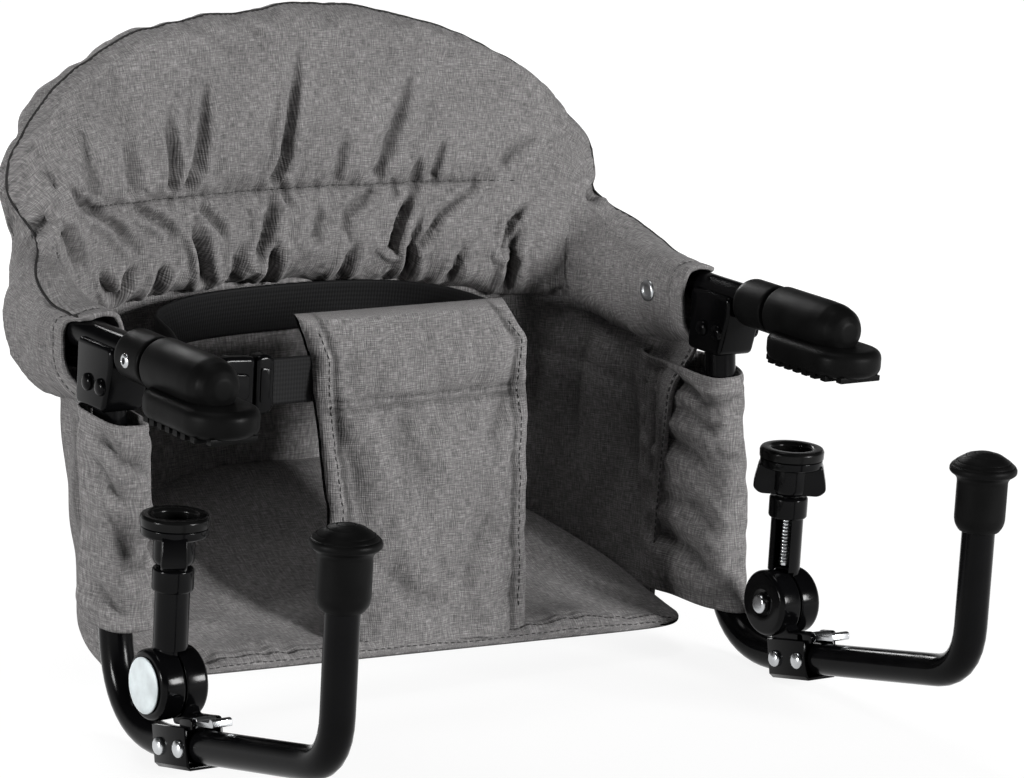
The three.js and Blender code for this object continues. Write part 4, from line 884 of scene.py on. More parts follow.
def back_skin(s, v):
    """Plain skin of the back: s runs from hem to hem, v round it from its lower edge up the front."""
    v = v % 1.0
    at_s = [np.interp(s, BACK_LENGTHS, BACK_ROWS[:, k])[:, None] for k in range(10)]
    x, y, z, inner, outer, top, bottom = at_s[:7]
    rim = np.concatenate(at_s[7:], axis=1)
    # The left shoulder is pinched where it meets the arm, the right one is filled less, and the lower edge
    # hangs a little deeper on the right
    pinched = smooth_step(-x, 150, 180) * np.exp(-((rim[:, 2:] - 52) / 13) ** 2)
    rim[:, :1] += 8 * pinched
    rim[:, 2:] -= 8 * smooth_step(rim[:, :1], 60, 190) * smooth_step(rim[:, 2:] - z - top, 4, 50)
    bottom = bottom + 7 * smooth_step(x, -30, 110) * (1 - smooth_step(x, 165, 190))
    ahead = [np.interp(s + 2, BACK_LENGTHS, BACK_ROWS[:, k]) for k in range(2)]
    behind = [np.interp(s - 2, BACK_LENGTHS, BACK_ROWS[:, k]) for k in range(2)]
    along = np.stack([ahead[0] - behind[0], ahead[1] - behind[1], 0 * s], 1)
    along /= np.linalg.norm(along, axis=1)[:, None]
    up = np.array([[0.0, 0.0, 1.0]])
    inward = np.cross(np.repeat(up, len(s), 0), along)
    centre = np.concatenate([x, y, z], axis=1)
    arch = smooth_step(rim[:, 2:] - z - top, 4, 50)
    behind_rim = 1 + (HOOP_COVER - 1) * arch * (1 - 0.7 * smooth_step(np.abs(x), 140, 180))

    def point(a, b):
        return centre + inward * a + up * b

    seam = point(inner * (0.8 + 0.1 * arch), top * (0.8 + 0.3 * arch))
    reach = rim - seam
    size = np.linalg.norm(reach, axis=1)[:, None]
    way = np.cross(reach / size, along)
    swell = way * np.minimum(0.16 * size, 9)
    rear = point(-outer, -0.1 * bottom)
    drop = rear - rim
    knots = np.stack([
        point(0 * inner, -bottom), point(0.78 * inner, -0.72 * bottom), point(inner, -0.1 * bottom), seam,
        seam + 0.3 * reach + swell, seam + 0.64 * reach + swell,
        seam + 0.88 * reach + way * (1.8 + (HOOP_COVER - 1.8) * arch), rim,
        rim + 0.12 * drop - inward * behind_rim, rim + 0.5 * drop - inward * (1 + 0.6 * behind_rim), rear,
        point(-0.8 * outer, -0.72 * bottom)], 1)
    count = knots.shape[1]
    place = np.interp(v, ROUND_KNOTS, range(count + 1))
    k = np.minimum(place.astype(int), count - 1)
    t = (place - k)[:, None]
    p0, p1, p2, p3 = (knots[np.arange(len(s)), (k + d) % count] for d in (-1, 0, 1, 2))
    skin_points = blend(p0, p1, p2, p3, t)
    # The hem is cut back on the outer side of the arm
    outside = smooth_step(v, 0.55, 0.75) * (1 - smooth_step(v, 0.92, 1))
    from_hem = np.minimum(s, BACK_END - s)
    skin_points[:, 1] += 16 * outside * (1 - smooth_step(from_hem, 0, 60))
    return skin_points, ((skin_points - centre) * inward).sum(axis=1)


def outward(skin_of, s, v, step_s=1.0, step_v=0.004):
    """Outward normals of a skin that is given by two parameters."""
    over_s = skin_of(s + step_s, v) - skin_of(s - step_s, v)
    over_v = skin_of(s, v + step_v) - skin_of(s, v - step_v)
    normals = np.cross(over_v, over_s)
    return normals / np.linalg.norm(normals, axis=1)[:, None]


def round_share(v):
    """Share of the way round the skin at a share of the grid's rows; one row lies in the rim's seam."""
    rows = BACK_GRID[1]
    return np.interp(v, [0, FRONT_ROWS / rows, (FRONT_ROWS + 1) / rows, 1],
                     [0, RIM_V - 1e-6, RIM_V + 1e-6, 1])


def in_channel(x):
    """1 where the channel is stitched, fading to 0 at its ends."""
    return smooth_step(x, -172, -150) * (1 - smooth_step(x, 104, 135))


def back_shape(u, v):
    """Back cushion and arm sleeves in one: creased, gathered along its channel, and hemmed at the arms."""
    v = round_share(v)
    share = [0, 0.03, 0.036, HEM_SHARE, 1 - HEM_SHARE, 0.964, 0.97, 1]
    s = np.interp(u, share, [LINING, 0.8, 0, 0.8,
                             BACK_END - 0.8, BACK_END, BACK_END - 0.8, BACK_END - LINING])
    inset = np.interp(u, share, [HEM_FOLD, HEM_FOLD, HEM_FOLD / 2, 0, 0, HEM_FOLD / 2, HEM_FOLD, HEM_FOLD])
    skin_points, across = back_skin(s, v)
    normals = outward(lambda a, b: back_skin(a, b)[0], s, v)
    x, y, z = skin_points.T
    front = smooth_step(v, 0, 0.045) * (1 - smooth_step(v, RIM_V - 0.04, RIM_V))
    fold = np.zeros_like(s)
    # dark is painted shade, drawn darker along the creases here and along the stitched channel below
    dark = np.zeros_like(s)
    for line, depth, width in BACK_CREASES:
        fold += crease(x, z, line, 1.15 * depth, 0.68 * width)
        dark = np.maximum(dark, crease(x, z, line, depth / 8, 0.5 * width))
    fold *= front * smooth_step(y, 160, 205)
    dark *= front * smooth_step(y, 160, 205)
    # The stitched channel draws the front in and puckers the cloth on both sides of it
    seam_z = back_skin(s, np.full_like(s, SEAM_V))[0][:, 2]
    off = z - seam_z
    stitched = in_channel(x) * front
    drawn_in = 3.0 * np.exp(-np.abs(off / 3.0) ** 1.4)
    pushed_out = 1.0 * np.exp(-((np.abs(off) - 11) / 6) ** 2)
    channel = stitched * (drawn_in - pushed_out)
    pucker = 1.1 * stitched * waves(10, 21, s) * np.exp(-np.abs(off) / 8)
    rim_pucker = waves(13, 22, s) * np.exp(-np.abs(v - RIM_V) / 0.03) * smooth_step(z, 60, 80)
    rear = smooth_step(v, RIM_V, RIM_V + 0.06) * (1 - smooth_step(v, 0.94, 1))
    soft = 1.6 * waves(58, 23, x, y, z) + 0.6 * waves(24, 24, x, y, z) + 0.2 * waves(11, 25, x, y, z)
    drag = 1.1 * rear * waves(26, 26, s, 0.25 * z)
    from_hem = np.minimum(s, BACK_END - s)
    hem = bpy.context.scene.chair_sizes.hem_w / MM
    hem_line = 1.4 * np.exp(-((from_hem - hem) / 1.7) ** 2) * (inset == 0)
    calm = smooth_step(from_hem, 2, 40)
    grow = -inset - hem_line + calm * (soft + drag - fold - channel + pucker + 0.25 * rim_pucker)
    points = skin_points + normals * grow[:, None]
    cover = np.where(inset > 0, TUBE_R + 0.4, TUBE_R + 0.6 + 1.8 * smooth_step(from_hem, 10, 60))
    points = over_tube(points, normals, FRAME_LINE, cover)
    # Painted shade along the stitched channel
    dark = np.maximum(dark, 0.5 * stitched * np.exp(-(off / 1.6) ** 2))
    return points, np.stack([s, np.where(v < RIM_V, z - across, 400 - z - across)], 1), np.clip(dark, 0, 1)


def back_sewn(u, v):
    """How firmly the back is held: at its channel, its rim seam, its lower edge and along the arms."""
    at = round_share(v)
    points = back_shape(u, v)[0]
    channel = np.exp(-((at - SEAM_V) / 0.006) ** 2) * in_channel(points[:, 0])
    rim = np.exp(-((at - RIM_V + 0.01) / 0.01) ** 2)
    lower = np.exp(-(np.minimum(at, 1 - at) / 0.02) ** 2)
    arms = 1 - smooth_step(points[:, 1], 185, 238)
    return np.clip(np.maximum.reduce([channel, rim, lower, arms, np.full_like(u, 0.02)]), 0, 1)


def seat_z(x, y):
    """Top of the seat, which hangs a little lower on the right."""
    along = np.clip((y - SEAT_FRONT_Y) / SEAT_RISE_RUN, 0, 1.2)
    return SEAT_Z - SEAT_TILT * x + SEAT_RISE * along ** SEAT_RISE_POWER


def wall_plan(t, front, centre, depth, power):
    """Plan of the shell's outer face: t 0 to 1 goes from the right front edge to the middle of the back."""
    straight = 0.3
    angle = np.clip((t - straight) / (1 - straight), 0, 1) * math.pi / 2
    x = WALL_HALF_W * np.cos(angle) ** (2 / power)
    y = np.where(t < straight, front + (centre - front) * t / straight,
                 centre + depth * np.sin(angle) ** (2 / power))
    return x, y


def roll_middle(x, y):
    """Plan of the roll's middle line at its nearest places."""
    gaps = np.hypot(x[:, None] - BACK_ROWS[None, :, 0], y[:, None] - BACK_ROWS[None, :, 1])
    nearest = BACK_ROWS[gaps.argmin(axis=1)]
    return nearest[:, 0], nearest[:, 1]


def wall_shape(first, last, seed):
    """Shape of one stretch of the shell, in its middle layer: v runs from the seat up to the roll."""
    def shape(u, v):
        t = first + (last - first) * u
        near = np.minimum(t, 2 - t)
        hand = np.where(t <= 1, 1.0, -1.0)
        low_x, low_y = wall_plan(near, *WALL_LOW)
        high_x, high_y = wall_plan(near, *WALL_HIGH)
        inset = WALL_T / 2
        x = (low_x + (high_x - low_x) * v) - inset * (1 - smooth_step(near, 0.75, 1.0))
        y = (low_y + (high_y - low_y) * v ** 2) - inset * smooth_step(near, 0.45, 0.9)
        under_x, under_y = roll_middle(x, y)
        tucked = 0.9 * smooth_step(v, 0.76, 0.98)
        x = x + (under_x - x) * tucked
        y = y + (under_y - y) * tucked
        top = np.interp(near, [0, 0.1, 0.4, 0.52, 0.6, 0.7, 0.8, 1], [1, 3, 3, 6, 11, 17, 21, 24])
        base = seat_z(hand * x, y) - 16
        z = base + (top - base) * v
        length = near * WALL_LENGTH
        slack = np.sin(math.pi * np.clip(v, 0, 1)) ** 0.7 * smooth_step(near, 0.02, 0.15)
        fold = np.zeros_like(z)
        # dark is painted shade along the wall's folds, where the cloth hangs slack
        dark = np.zeros_like(z)
        for line, depth, width in WALL_FOLDS:
            flat_line = [(a * WALL_LENGTH, b) for a, b in line]
            fold += crease(length, z, flat_line, depth, width * WALL_LENGTH)
            dark = np.maximum(dark, crease(length, z, flat_line, depth / 12, width * 180))
        soft = 3.0 * waves(70, seed, length, 0.5 * z) + 1.1 * waves(26, seed + 1, length, 0.6 * z)
        move = slack * (soft - fold)
        x = hand * (x - move * (1 - smooth_step(near, 0.5, 0.9)))
        y = y - move * smooth_step(near, 0.4, 0.8)
        return np.stack([x, y, z], 1), np.stack([t * WALL_LENGTH, z], 1), np.clip(dark * slack, 0, 1)
    return shape


def seat_half_width(y):
    """Half width of the seat: straight at the sides, rounded to the back, with drawn-in front corners."""
    rear = np.clip((y - 130) / (SEAT_REAR_Y + 1.5 - 130), 0, 1)
    half = SEAT_HALF_W * (1 - rear ** 2.2) ** (1 / 2.2)
    corner = np.clip((SEAT_FRONT_Y + 20 - y) / 20, 0, 1)
    drawn_in = 24 * (1 - np.sqrt(1 - corner ** 2))
    return half - drawn_in - 4 * (1 - smooth_step(y, SEAT_FRONT_Y, SEAT_FRONT_Y + 45))


def seat_shape(u, v):
    """Seat pad over its board: v runs forward over the top, round the front edge and back below."""
    top = v < SEAT_TOP_SHARE
    climb = np.where(top, v / SEAT_TOP_SHARE, (1 - v) / (1 - SEAT_TOP_SHARE))
    y = SEAT_REAR_Y + (SEAT_FRONT_Y - SEAT_REAR_Y) * np.sin(climb * math.pi / 2) ** 0.9
    across = np.sin((u - 0.5) * math.pi)
    x = seat_half_width(y) * across
    from_front = y - SEAT_FRONT_Y
    edge = np.sqrt(np.maximum(0, 1 - np.abs(across) ** 14)) * np.sqrt(np.clip(from_front / 5, 0, 1))
    rear_edge = np.sqrt(np.clip((SEAT_REAR_Y - y) / 12, 0, 1))
    swell = edge * rear_edge
    seam = np.exp(-((from_front - 8) / 1.8) ** 2) + 0.6 * np.exp(-((from_front - 13) / 1.6) ** 2)
    soft = 1.4 * waves(64, 41, x, y) + 0.7 * waves(26, 42, x, y)
    pull = 1.6 * waves(17, 43, x) * np.exp(-np.abs(from_front - 10) / 9)
    crown = 3.2 * np.cos(across * math.pi / 2) * smooth_step(from_front, 0, 40)
    top_z = seat_z(x, y) - 5 + swell * (5 + crown + soft + pull - 1.8 * seam)
    low_z = seat_z(x, y) - 6 - swell * (3 + 6 * smooth_step(from_front, 2, 30))
    z = np.where(top, top_z, low_z)
    return np.stack([x, y, z], 1), np.stack([x, np.where(top, y, 600 - y)], 1)


def panel_shape(u, v):
    """Panel between the legs: v runs up its front, over the fold at its head and down its rear."""
    front = v < PANEL_FRONT_SHARE
    climb = np.where(front, v / PANEL_FRONT_SHARE, (1 - v) / (1 - PANEL_FRONT_SHARE))
    side = 2 * u - 1
    height = PANEL_HEAD[1] - PANEL_FOOT[1]
    rise = climb ** PANEL_RISE_POWER
    z = PANEL_FOOT[1] + height * rise
    y_front = PANEL_FOOT[0] + (PANEL_HEAD[0] - PANEL_FOOT[0]) * rise
    uneven = 0.9 * waves(45, 51, z) * np.sign(side) + 0.6 * waves(16, 52, z + 40 * np.sign(side))
    half = np.interp(z, *PANEL_HALF) + uneven
    eased = np.sin(side * math.pi / 2) * 0.35 + side * 0.65
    flat_x = half * eased
    x = np.interp(z, *PANEL_MIDDLE) + flat_x
    from_side = half - np.abs(flat_x)
    hem = bpy.context.scene.chair_sizes.hem_w / MM
    head = np.clip((1 - rise) * height, 0, None)
    edge = np.sqrt(np.clip(from_side / 4.5, 0, 1)) * np.sqrt(np.clip(head / 6, 0, 1))
    seams = np.exp(-((from_side - hem) / 1.7) ** 2)
    seams = seams + np.exp(-((z - PANEL_TUNNEL_Z) / 1.6) ** 2)
    seams = seams + 0.8 * np.exp(-((z - PANEL_TUNNEL_Z - PANEL_ROW_GAP) / 1.5) ** 2)
    puff = 4.0 * smooth_step(from_side, 8, 30) * (1 - np.exp(-((z - PANEL_TUNNEL_Z - 2) / 12) ** 2))
    roundness = 3.2 * np.exp(-((z - 2) / 18) ** 2)
    soft = 1.6 * waves(48, 53, x, z) + 0.8 * waves(17, 54, x, z)
    pucker = 0.9 * waves(9, 55, z) * np.exp(-np.abs(from_side - hem) / 5)
    fold = np.zeros_like(z)
    for line, depth, width in PANEL_CREASES:
        fold += crease(x, z, line, depth, width)
    relief = puff + roundness + (soft + pucker) * smooth_step(from_side, 2, 14) - 1.8 * seams - fold
    y = np.where(front, y_front + 4.2 - edge * (3.2 + relief), y_front + 7.2 + edge * 3.6)
    # Painted shade along the hems, the tunnel's rows and the creases of the front
    dark = np.where(front, np.clip(0.5 * seams + 0.1 * fold, 0, 1), 0)
    return np.stack([x, y, z], 1), np.stack([x, np.where(front, z, 500 - z)], 1), dark


def leg_y(z):
    """Leg's axis in Y at a height."""
    return LEG_FOOT[0] + LEG_LEAN * (z - LEG_FOOT[1])


def leg_shape(name, sign):
    """Shape of a leg sleeve: u goes round it from its inner side over the front, v runs down."""
    setback, half_depth, high, low, folds = LEG_SLEEVES[name]
    leg_line = np.array(resample(hook_line(sign * SIDE_X), 3), float)

    def shape(u, v):
        angle = math.tau * u
        share = [0, 0.09, 0.1, 0.11, 0.89, 0.9, 0.91, 1]
        z = np.interp(v, share, [high - 16, high - 0.8, high, high - 0.8,
                                 low + 0.8, low, low + 0.8, low + 16])
        inset = np.interp(v, share, [2.4, 2.4, 1.2, 0, 0, 1.2, 2.4, 2.4])
        cos, sin = np.cos(angle), np.sin(angle)
        a = np.sign(cos) * np.abs(cos) ** 0.62
        b = np.sign(sin) * np.abs(sin) ** 0.62
        around = np.where(angle > math.pi * 1.5, angle - math.tau, angle)
        fold = np.zeros_like(z)
        # dark is painted shade along the sleeve's sagging folds, on the side that shows
        dark = np.zeros_like(z)
        for line, depth, width in folds:
            flat_line = [(p[0] * 20, p[1]) for p in line]
            fold += crease(around * 20, z, flat_line, 1.2 * depth, width)
            dark = np.maximum(dark, crease(around * 20, z, flat_line, depth / 8, 0.6 * width))
        seen = smooth_step(around, -1.4, -0.7) * (1 - smooth_step(around, 2.9, 3.6))
        fold *= seen
        edge = np.minimum(high - z, z - low)
        calm = smooth_step(edge, -1, 12)
        ring = (24 * cos, 24 * sin)
        soft = 1.7 * waves(44, 61 + sign, *ring, z) + 0.8 * waves(18, 63 + sign, *ring, z)
        hem = np.exp(-((edge - 7) / 1.5) ** 2) * (inset == 0)
        grow = -inset + calm * (soft - fold) - 0.9 * hem
        sag = 3.0 * smooth_step(z, -40, high) * np.sin(angle + 0.5)
        # The rear of the sleeve is sewn to the side panel
        inwards = (SIDE_X - WALL_HALF_W) * smooth_step(-sin, 0, 1)
        x = sign * (SIDE_X - inwards - (LEG_HALF_W * a * (1 - 0.5 * smooth_step(-sin, 0.2, 1)) + grow * cos))
        y = leg_y(z) + setback - (half_depth * b + grow * sin)
        normals = np.stack([-sign * cos, -sin, 0 * z], 1)
        reach = TUBE_R + np.where(inset > 0, 0.4, 2.0)
        points = over_tube(np.stack([x, y, z - sag], 1), normals, leg_line, reach)
        return points, np.stack([angle * 21, z], 1), np.clip(dark * seen, 0, 1)
    return shape


def tube_shape(points, radius, side):
    """Shape of a sewn cord along a line: u runs along it and v round it."""
    points = np.asarray(points, float)
    _, sides, ups = carried(points, side)
    lengths = travelled(points)

    def shape(u, v):
        s = u * lengths[-1]
        at = [at_length(s, lengths, rows) for rows in (points, sides, ups)]
        angle = math.tau * v
        ends = np.sqrt(np.clip(np.minimum(s, lengths[-1] - s) / radius, 0, 1))
        a, b = radius * np.cos(angle) * ends, radius * np.sin(angle) * ends
        return at[0] + at[1] * a[:, None] + at[2] * b[:, None], np.stack([s, v * math.tau * radius], 1)
    return shape


def strap_shape(points, width, side):
    """Shape of a flat strap along a line, in its middle layer, with its width along the side."""
    points = np.asarray(points, float)
    _, sides, _ = carried(points, side)
    lengths = travelled(points)

    def shape(u, v):
        s = u * lengths[-1]
        at = [at_length(s, lengths, rows) for rows in (points, sides)]
        return at[0] + at[1] * ((v - 0.5) * width)[:, None], np.stack([s, v * width], 1)
    return shape


# Operators


class CHAIR_OT_tubes(bpy.types.Operator):
    """Bent steel tubes: the two hooks, and the arms with the back hoop"""
    bl_idname = "chair.tubes"
    bl_label = "Steel tubes"

    def execute(self, context):
        for name, sign in SIDES:
            bm = bmesh.new()
            sweep(bm, circle(TUBE_R), resample(hook_line(sign * SIDE_X), 6), (1, 0, 0))
            piece(bm, f"{name}_hook_tube_skin", "powder_coat", (f"{name}_hook_tube",))
        bm = bmesh.new()
        sweep(bm, circle(TUBE_R), resample(frame_line(), 7), (0, 0, 1))
        piece(bm, "upper_tube_skin", "powder_coat", ("upper_frame_tube",))
        return {"FINISHED"}


class CHAIR_OT_plugs(bpy.types.Operator):
    """Rubber plugs on the hooks' upright ends, with moulded rings on top"""
    bl_idname = "chair.plugs"
    bl_label = "Hook plugs"

    def execute(self, context):
        corners = [(9.4, -57.6), (10.8, -57.6), (13, -54.4), (13.75, -51), (13.75, -29.4), (15, -27.4),
                   (17.2, -26), (18.2, -25), (18.2, -22.8), (17.2, -21.4)]
        rings = [(16.6, -21.3), (16.3, -20.6), (14.8, -19.3), (14.4, -19.6), (14, -18.7), (10, -16.2),
                 (9.6, -16.5), (9.2, -15.8), (5, PLUG_TOP), (4.6, -15), (4.2, PLUG_TOP), (0, PLUG_TOP)]
        for name, sign in SIDES:
            bm = bmesh.new()
            profile = rounded([(9.4, -40)] + corners, 1.4, closed=False) + [Vector(p) for p in rings]
            turn(bm, profile, Matrix.Translation((sign * SIDE_X, HOOK_AXIS[0][0], 0)), 48)
            piece(bm, f"{name}_plug_skin", "moulded_rubber", (f"{name}_hook_plug",), sharp=50)
        return {"FINISHED"}


class CHAIR_OT_grips(bpy.types.Operator):
    """Soft grips on the arms, their ribbed pads and their screws"""
    bl_idname = "chair.grips"
    bl_label = "Arm grips and pads"

    def execute(self, context):
        for name, sign in SIDES:
            x = sign * SIDE_X
            self.grip(name, x)
            self.pad(name, x)
            head = [(0, 9.8), (4, 9.8), (4, 14.2), (2.6, 15), (1.7, 15), (1.7, 13.6), (0, 13.6)]
            place = along_x(x, GRIP_SCREW_Y, ARM_Z, sign)
            turned(f"{name}_grip_screw_head", "zinc_plate", head, 0.5, place, 24, (f"{name}_grip_screw",))
        return {"FINISHED"}

    def grip(self, name, x):
        """Turned skin with a blunt nose and a groove, cut flat where the pad fits."""
        skin_line = [(0, 26), (5.5, 25.8), (10, 23.6), (13, 19.5), (14.6, 13), (15, 4), (15, -34.6),
                     (14.4, -35.6), (10.4, -36), (10.4, -39.6), (13.6, -40), (14, -41.4), (14, -63),
                     (13, -65.6), (11, -66), (9.4, -66), (9.4, -56)]
        bm = bmesh.new()
        turn(bm, rounded(skin_line, 1.2, closed=False), Matrix.Translation((x, GRIP_SHIFT, ARM_Z))
             @ Matrix.Rotation(math.pi / 2, 4, "X"), 48)
        flat = [f for f in bm.faces if f.calc_center_median().y < GRIP_CUT_Y + GRIP_SHIFT]
        geom = flat + list({e for f in flat for e in f.edges}) + list({v for f in flat for v in f.verts})
        bmesh.ops.bisect_plane(bm, geom=geom, plane_co=(0, 0, PAD_CUT_Z), plane_no=(0, 0, -1),
                               clear_outer=True)
        rim = [e for e in bm.edges if e.is_boundary and e.calc_length() > 0]
        bmesh.ops.holes_fill(bm, edges=rim, sides=0)
        piece(bm, f"{name}_grip_skin", "soft_touch_rubber", (f"{name}_arm_grip",), sharp=42)

    def pad(self, name, x):
        """Round-ended pad with rounded rims and ribs below."""
        reach = PAD_HALF_L - PAD_R
        outline = arc((0, reach), PAD_R, 0, 180, 18) + arc((0, -reach), PAD_R, 180, 360, 18)
        bm = bmesh.new()
        extrude(bm, outline, 15, Matrix.Translation((x, PAD_Y, 9.5)), 5.0, 5)
        for i in range(-4, 5):
            y = i * 8
            over = max(0, abs(y) - reach)
            width = math.sqrt(max(0, (PAD_R - 1.5) ** 2 - over ** 2))
            if width > 3:
                bar = [(-width, -2.25), (width, -2.25), (width, 2.25), (-width, 2.25)]
                extrude(bm, bar, 3.4, Matrix.Translation((x, PAD_Y + y, 1.7)), 0.5, 2)
        piece(bm, f"{name}_pad_skin", "moulded_rubber", (f"{name}_arm_pad",))


def button_bolt(bm, place, radius=4.75, height=3.0):
    """A bolt with a low domed head, standing on its place along Z."""
    dome = [(radius * math.cos(math.radians(a)), height * (0.25 + 0.75 * math.sin(math.radians(a))))
            for a in range(0, 91, 15)]
    turn(bm, [(0, -2), (2.5, -2), (2.5, 0), (radius, 0)] + dome, place, 28)


class CHAIR_OT_brackets(bpy.types.Operator):
    """Arm brackets, clamp brackets and their bolts"""
    bl_idname = "chair.brackets"
    bl_label = "Brackets and bolts"

    def execute(self, context):
        for name, sign in SIDES:
            x = sign * SIDE_X
            bm = bmesh.new()
            outline = rounded([(82, 27), (82, 16), (89, -9), (119, -9), (119, 27)], 3.5)
            extrude(bm, outline, ARM_BRACKET_W, side_plane(x), 2.4)
            piece(bm, f"{name}_arm_bracket_skin", "powder_coat", (f"{name}_arm_bracket",))
            for place, y in (("front", 91), ("rear", 105)):
                bm = bmesh.new()
                for way in (1, -1):
                    button_bolt(bm, along_x(x + way * ARM_BRACKET_W / 2, y, 5, way))
                piece(bm, f"{name}_arm_bolt_{place}_heads", "powder_coat", (f"{name}_arm_bolt_{place}",))
            self.clamp_bracket(name, x)
        return {"FINISHED"}

    def clamp_bracket(self, name, x):
        """Folded steel bracket under the lower run, with its two bolts."""
        half = CLAMP_BRACKET_W / 2
        wall = [(-half, 11), (-half, -9), (-9, -11.4), (9, -11.4), (half, -9), (half, 11), (9.4, 11),
                (9.4, -8.6), (8.6, -9.4), (-8.6, -9.4), (-9.4, -8.6), (-9.4, 11)]
        bm = bmesh.new()
        extrude(bm, wall, CLAMP_BRACKET_L, on_run(x) @ front_plane(), 0.4, 2)
        piece(bm, f"{name}_clamp_bracket_skin", "powder_coat", (f"{name}_clamp_bracket",))
        for place, at in (("front", -10.3), ("rear", 10.3)):
            bm = bmesh.new()
            for way in (1, -1):
                button_bolt(bm, along_x(*run_point(x + way * CLAMP_BRACKET_W / 2, at, 0), way))
            piece(bm, f"{name}_bracket_bolt_{place}_heads", "zinc_plate", (f"{name}_bracket_bolt_{place}",))


class CHAIR_OT_clamps(bpy.types.Operator):
    """Screw clamps: hinge, post, cap, screw, winged knob, pressure ring and release lever"""
    bl_idname = "chair.clamps"
    bl_label = "Screw clamps"

    def execute(self, context):
        for name, sign in SIDES:
            x = sign * SIDE_X
            self.hinge(name, sign, x)
            self.post(name, sign, x)
            self.screw(name, x)
            self.knob(name, x)
            self.lever(name, x)
        return {"FINISHED"}

    def hinge(self, name, sign, x):
        """Inner hinge half with its foot and the lever's ears, and the pin's head."""
        y, z = PIVOT
        bm = bmesh.new()
        disc = [(4.4, 0.4), (HINGE_R, 0.4), (HINGE_R, 12), (17, 14), (8, 14), (7, 13), (4.4, 13)]
        turn(bm, rounded(disc, 1.0, closed=False), along_x(x, y, z, -sign), 56)
        foot = rounded([(-14, 9.6), (16, 9.6), (16.3, 24), (4, 24), (0.5, 15.5), (-14, 15.5)], 2.5)
        run = on_run(x)
        extrude(bm, foot, 8.4, run @ Matrix.Translation((-sign * 4.8, 0, 0)) @ side_plane(0), 0.8)
        ear = rounded([(-21.3, 9.6), (-8, 9.6), (-8, 15.5), (-21.3, 15.5)], 2.6)
        for at in (-7.9, 7.9):
            extrude(bm, ear, 2.2, run @ Matrix.Translation((at, 0, 0)) @ side_plane(0), 0.4)
        piece(bm, f"{name}_hinge_base_skin", "gloss_plastic", (f"{name}_hinge_base",))
        head = [(0, 13), (5.5, 13), (5.5, 16.4), (4.4, 17.4), (0, 17.4)]
        turned(f"{name}_hinge_pin_head", "zinc_plate", head, 0.8, along_x(x, y, z, -sign), 32,
               (f"{name}_hinge_pin",))

    def post(self, name, sign, x):
        """Outer hinge half with its slotted column and collar, and the pale cap."""
        y, z = PIVOT
        body = f"{name}_clamp_post"
        bm = bmesh.new()
        disc = [(4.4, 0.4), (HINGE_R, 0.4), (HINGE_R, 11.8), (17.4, 14), (4.4, 14)]
        turn(bm, rounded(disc, 1.2, closed=False), along_x(x, y, z, sign), 56)
        open_way = SLOT_WAY[name]
        half = math.degrees(math.asin(COLUMN_BORE_R / COLUMN_R))
        column = arc((0, 0), COLUMN_R, open_way + half, open_way + 360 - half, 30)
        column += arc((0, 0), COLUMN_BORE_R, open_way + 270, open_way + 90, 12)
        extrude(bm, column, 31, Matrix.Translation((x, y, z + 34.5)))
        start = -90 if sign > 0 else 90
        root = arc((sign * 0.6, 0), 8.6, start, start + 180, 14)
        extrude(bm, root, 20, Matrix.Translation((x, y, z + 10)), 0.5, 2)
        collar = [(COLUMN_BORE_R, POST_TOP), (COLUMN_R, POST_TOP), (10.4, POST_TOP), (11, POST_TOP + 1),
                  (11, COLLAR_TOP - 1), (10, COLLAR_TOP), (COLUMN_BORE_R, COLLAR_TOP),
                  (COLUMN_BORE_R, POST_TOP)]
        turn(bm, rounded(collar, 0.6, closed=False), Matrix.Translation((x, y, z)), 40)
        piece(bm, f"{name}_clamp_post_skin", "gloss_plastic", (f"{name}_clamp_post",), body)
        cap = [(0, 14.4), (15, 14.4), (15, 15.6), (12.8, 16.4), (0, 16.4)]
        turned(f"{name}_hinge_cap_skin", "pale_plastic", cap, 0.8, along_x(x, y, z, sign), 48,
               (f"{name}_hinge_cap",), body)

    def screw(self, name, x):
        """Threaded rod: one tooth spun up the rod, with its ends closed."""
        y, z = PIVOT
        pitch = bpy.context.scene.chair_sizes.thread_pitch / MM
        low, high = SCREW_LOW, SCREW_HIGH
        steps = 20
        turns = int((high - low) / pitch) - 1
        bm = bmesh.new()
        tooth = [(3.3, 0), (3.95, pitch * 0.42), (3.95, pitch * 0.58), (3.3, pitch)]
        verts = [bm.verts.new((r, 0, low + at)) for r, at in tooth]
        edges = [bm.edges.new(pair) for pair in zip(verts, verts[1:])]
        bmesh.ops.spin(bm, geom=verts + edges, cent=(0, 0, 0), axis=(0, 0, 1), dvec=(0, 0, pitch / steps),
                       angle=math.tau * turns, steps=steps * turns)
        bmesh.ops.remove_doubles(bm, verts=bm.verts, dist=0.01)
        turn(bm, [(0, low), (3.5, low), (3.5, low + pitch)], steps=steps)
        turn(bm, [(3.5, high - pitch), (3.5, high), (0, high)], steps=steps)
        bmesh.ops.translate(bm, vec=(x, y, z), verts=bm.verts)
        piece(bm, f"{name}_clamp_screw_thread", "zinc_plate", (f"{name}_clamp_screw",),
              f"{name}_knob_screw")

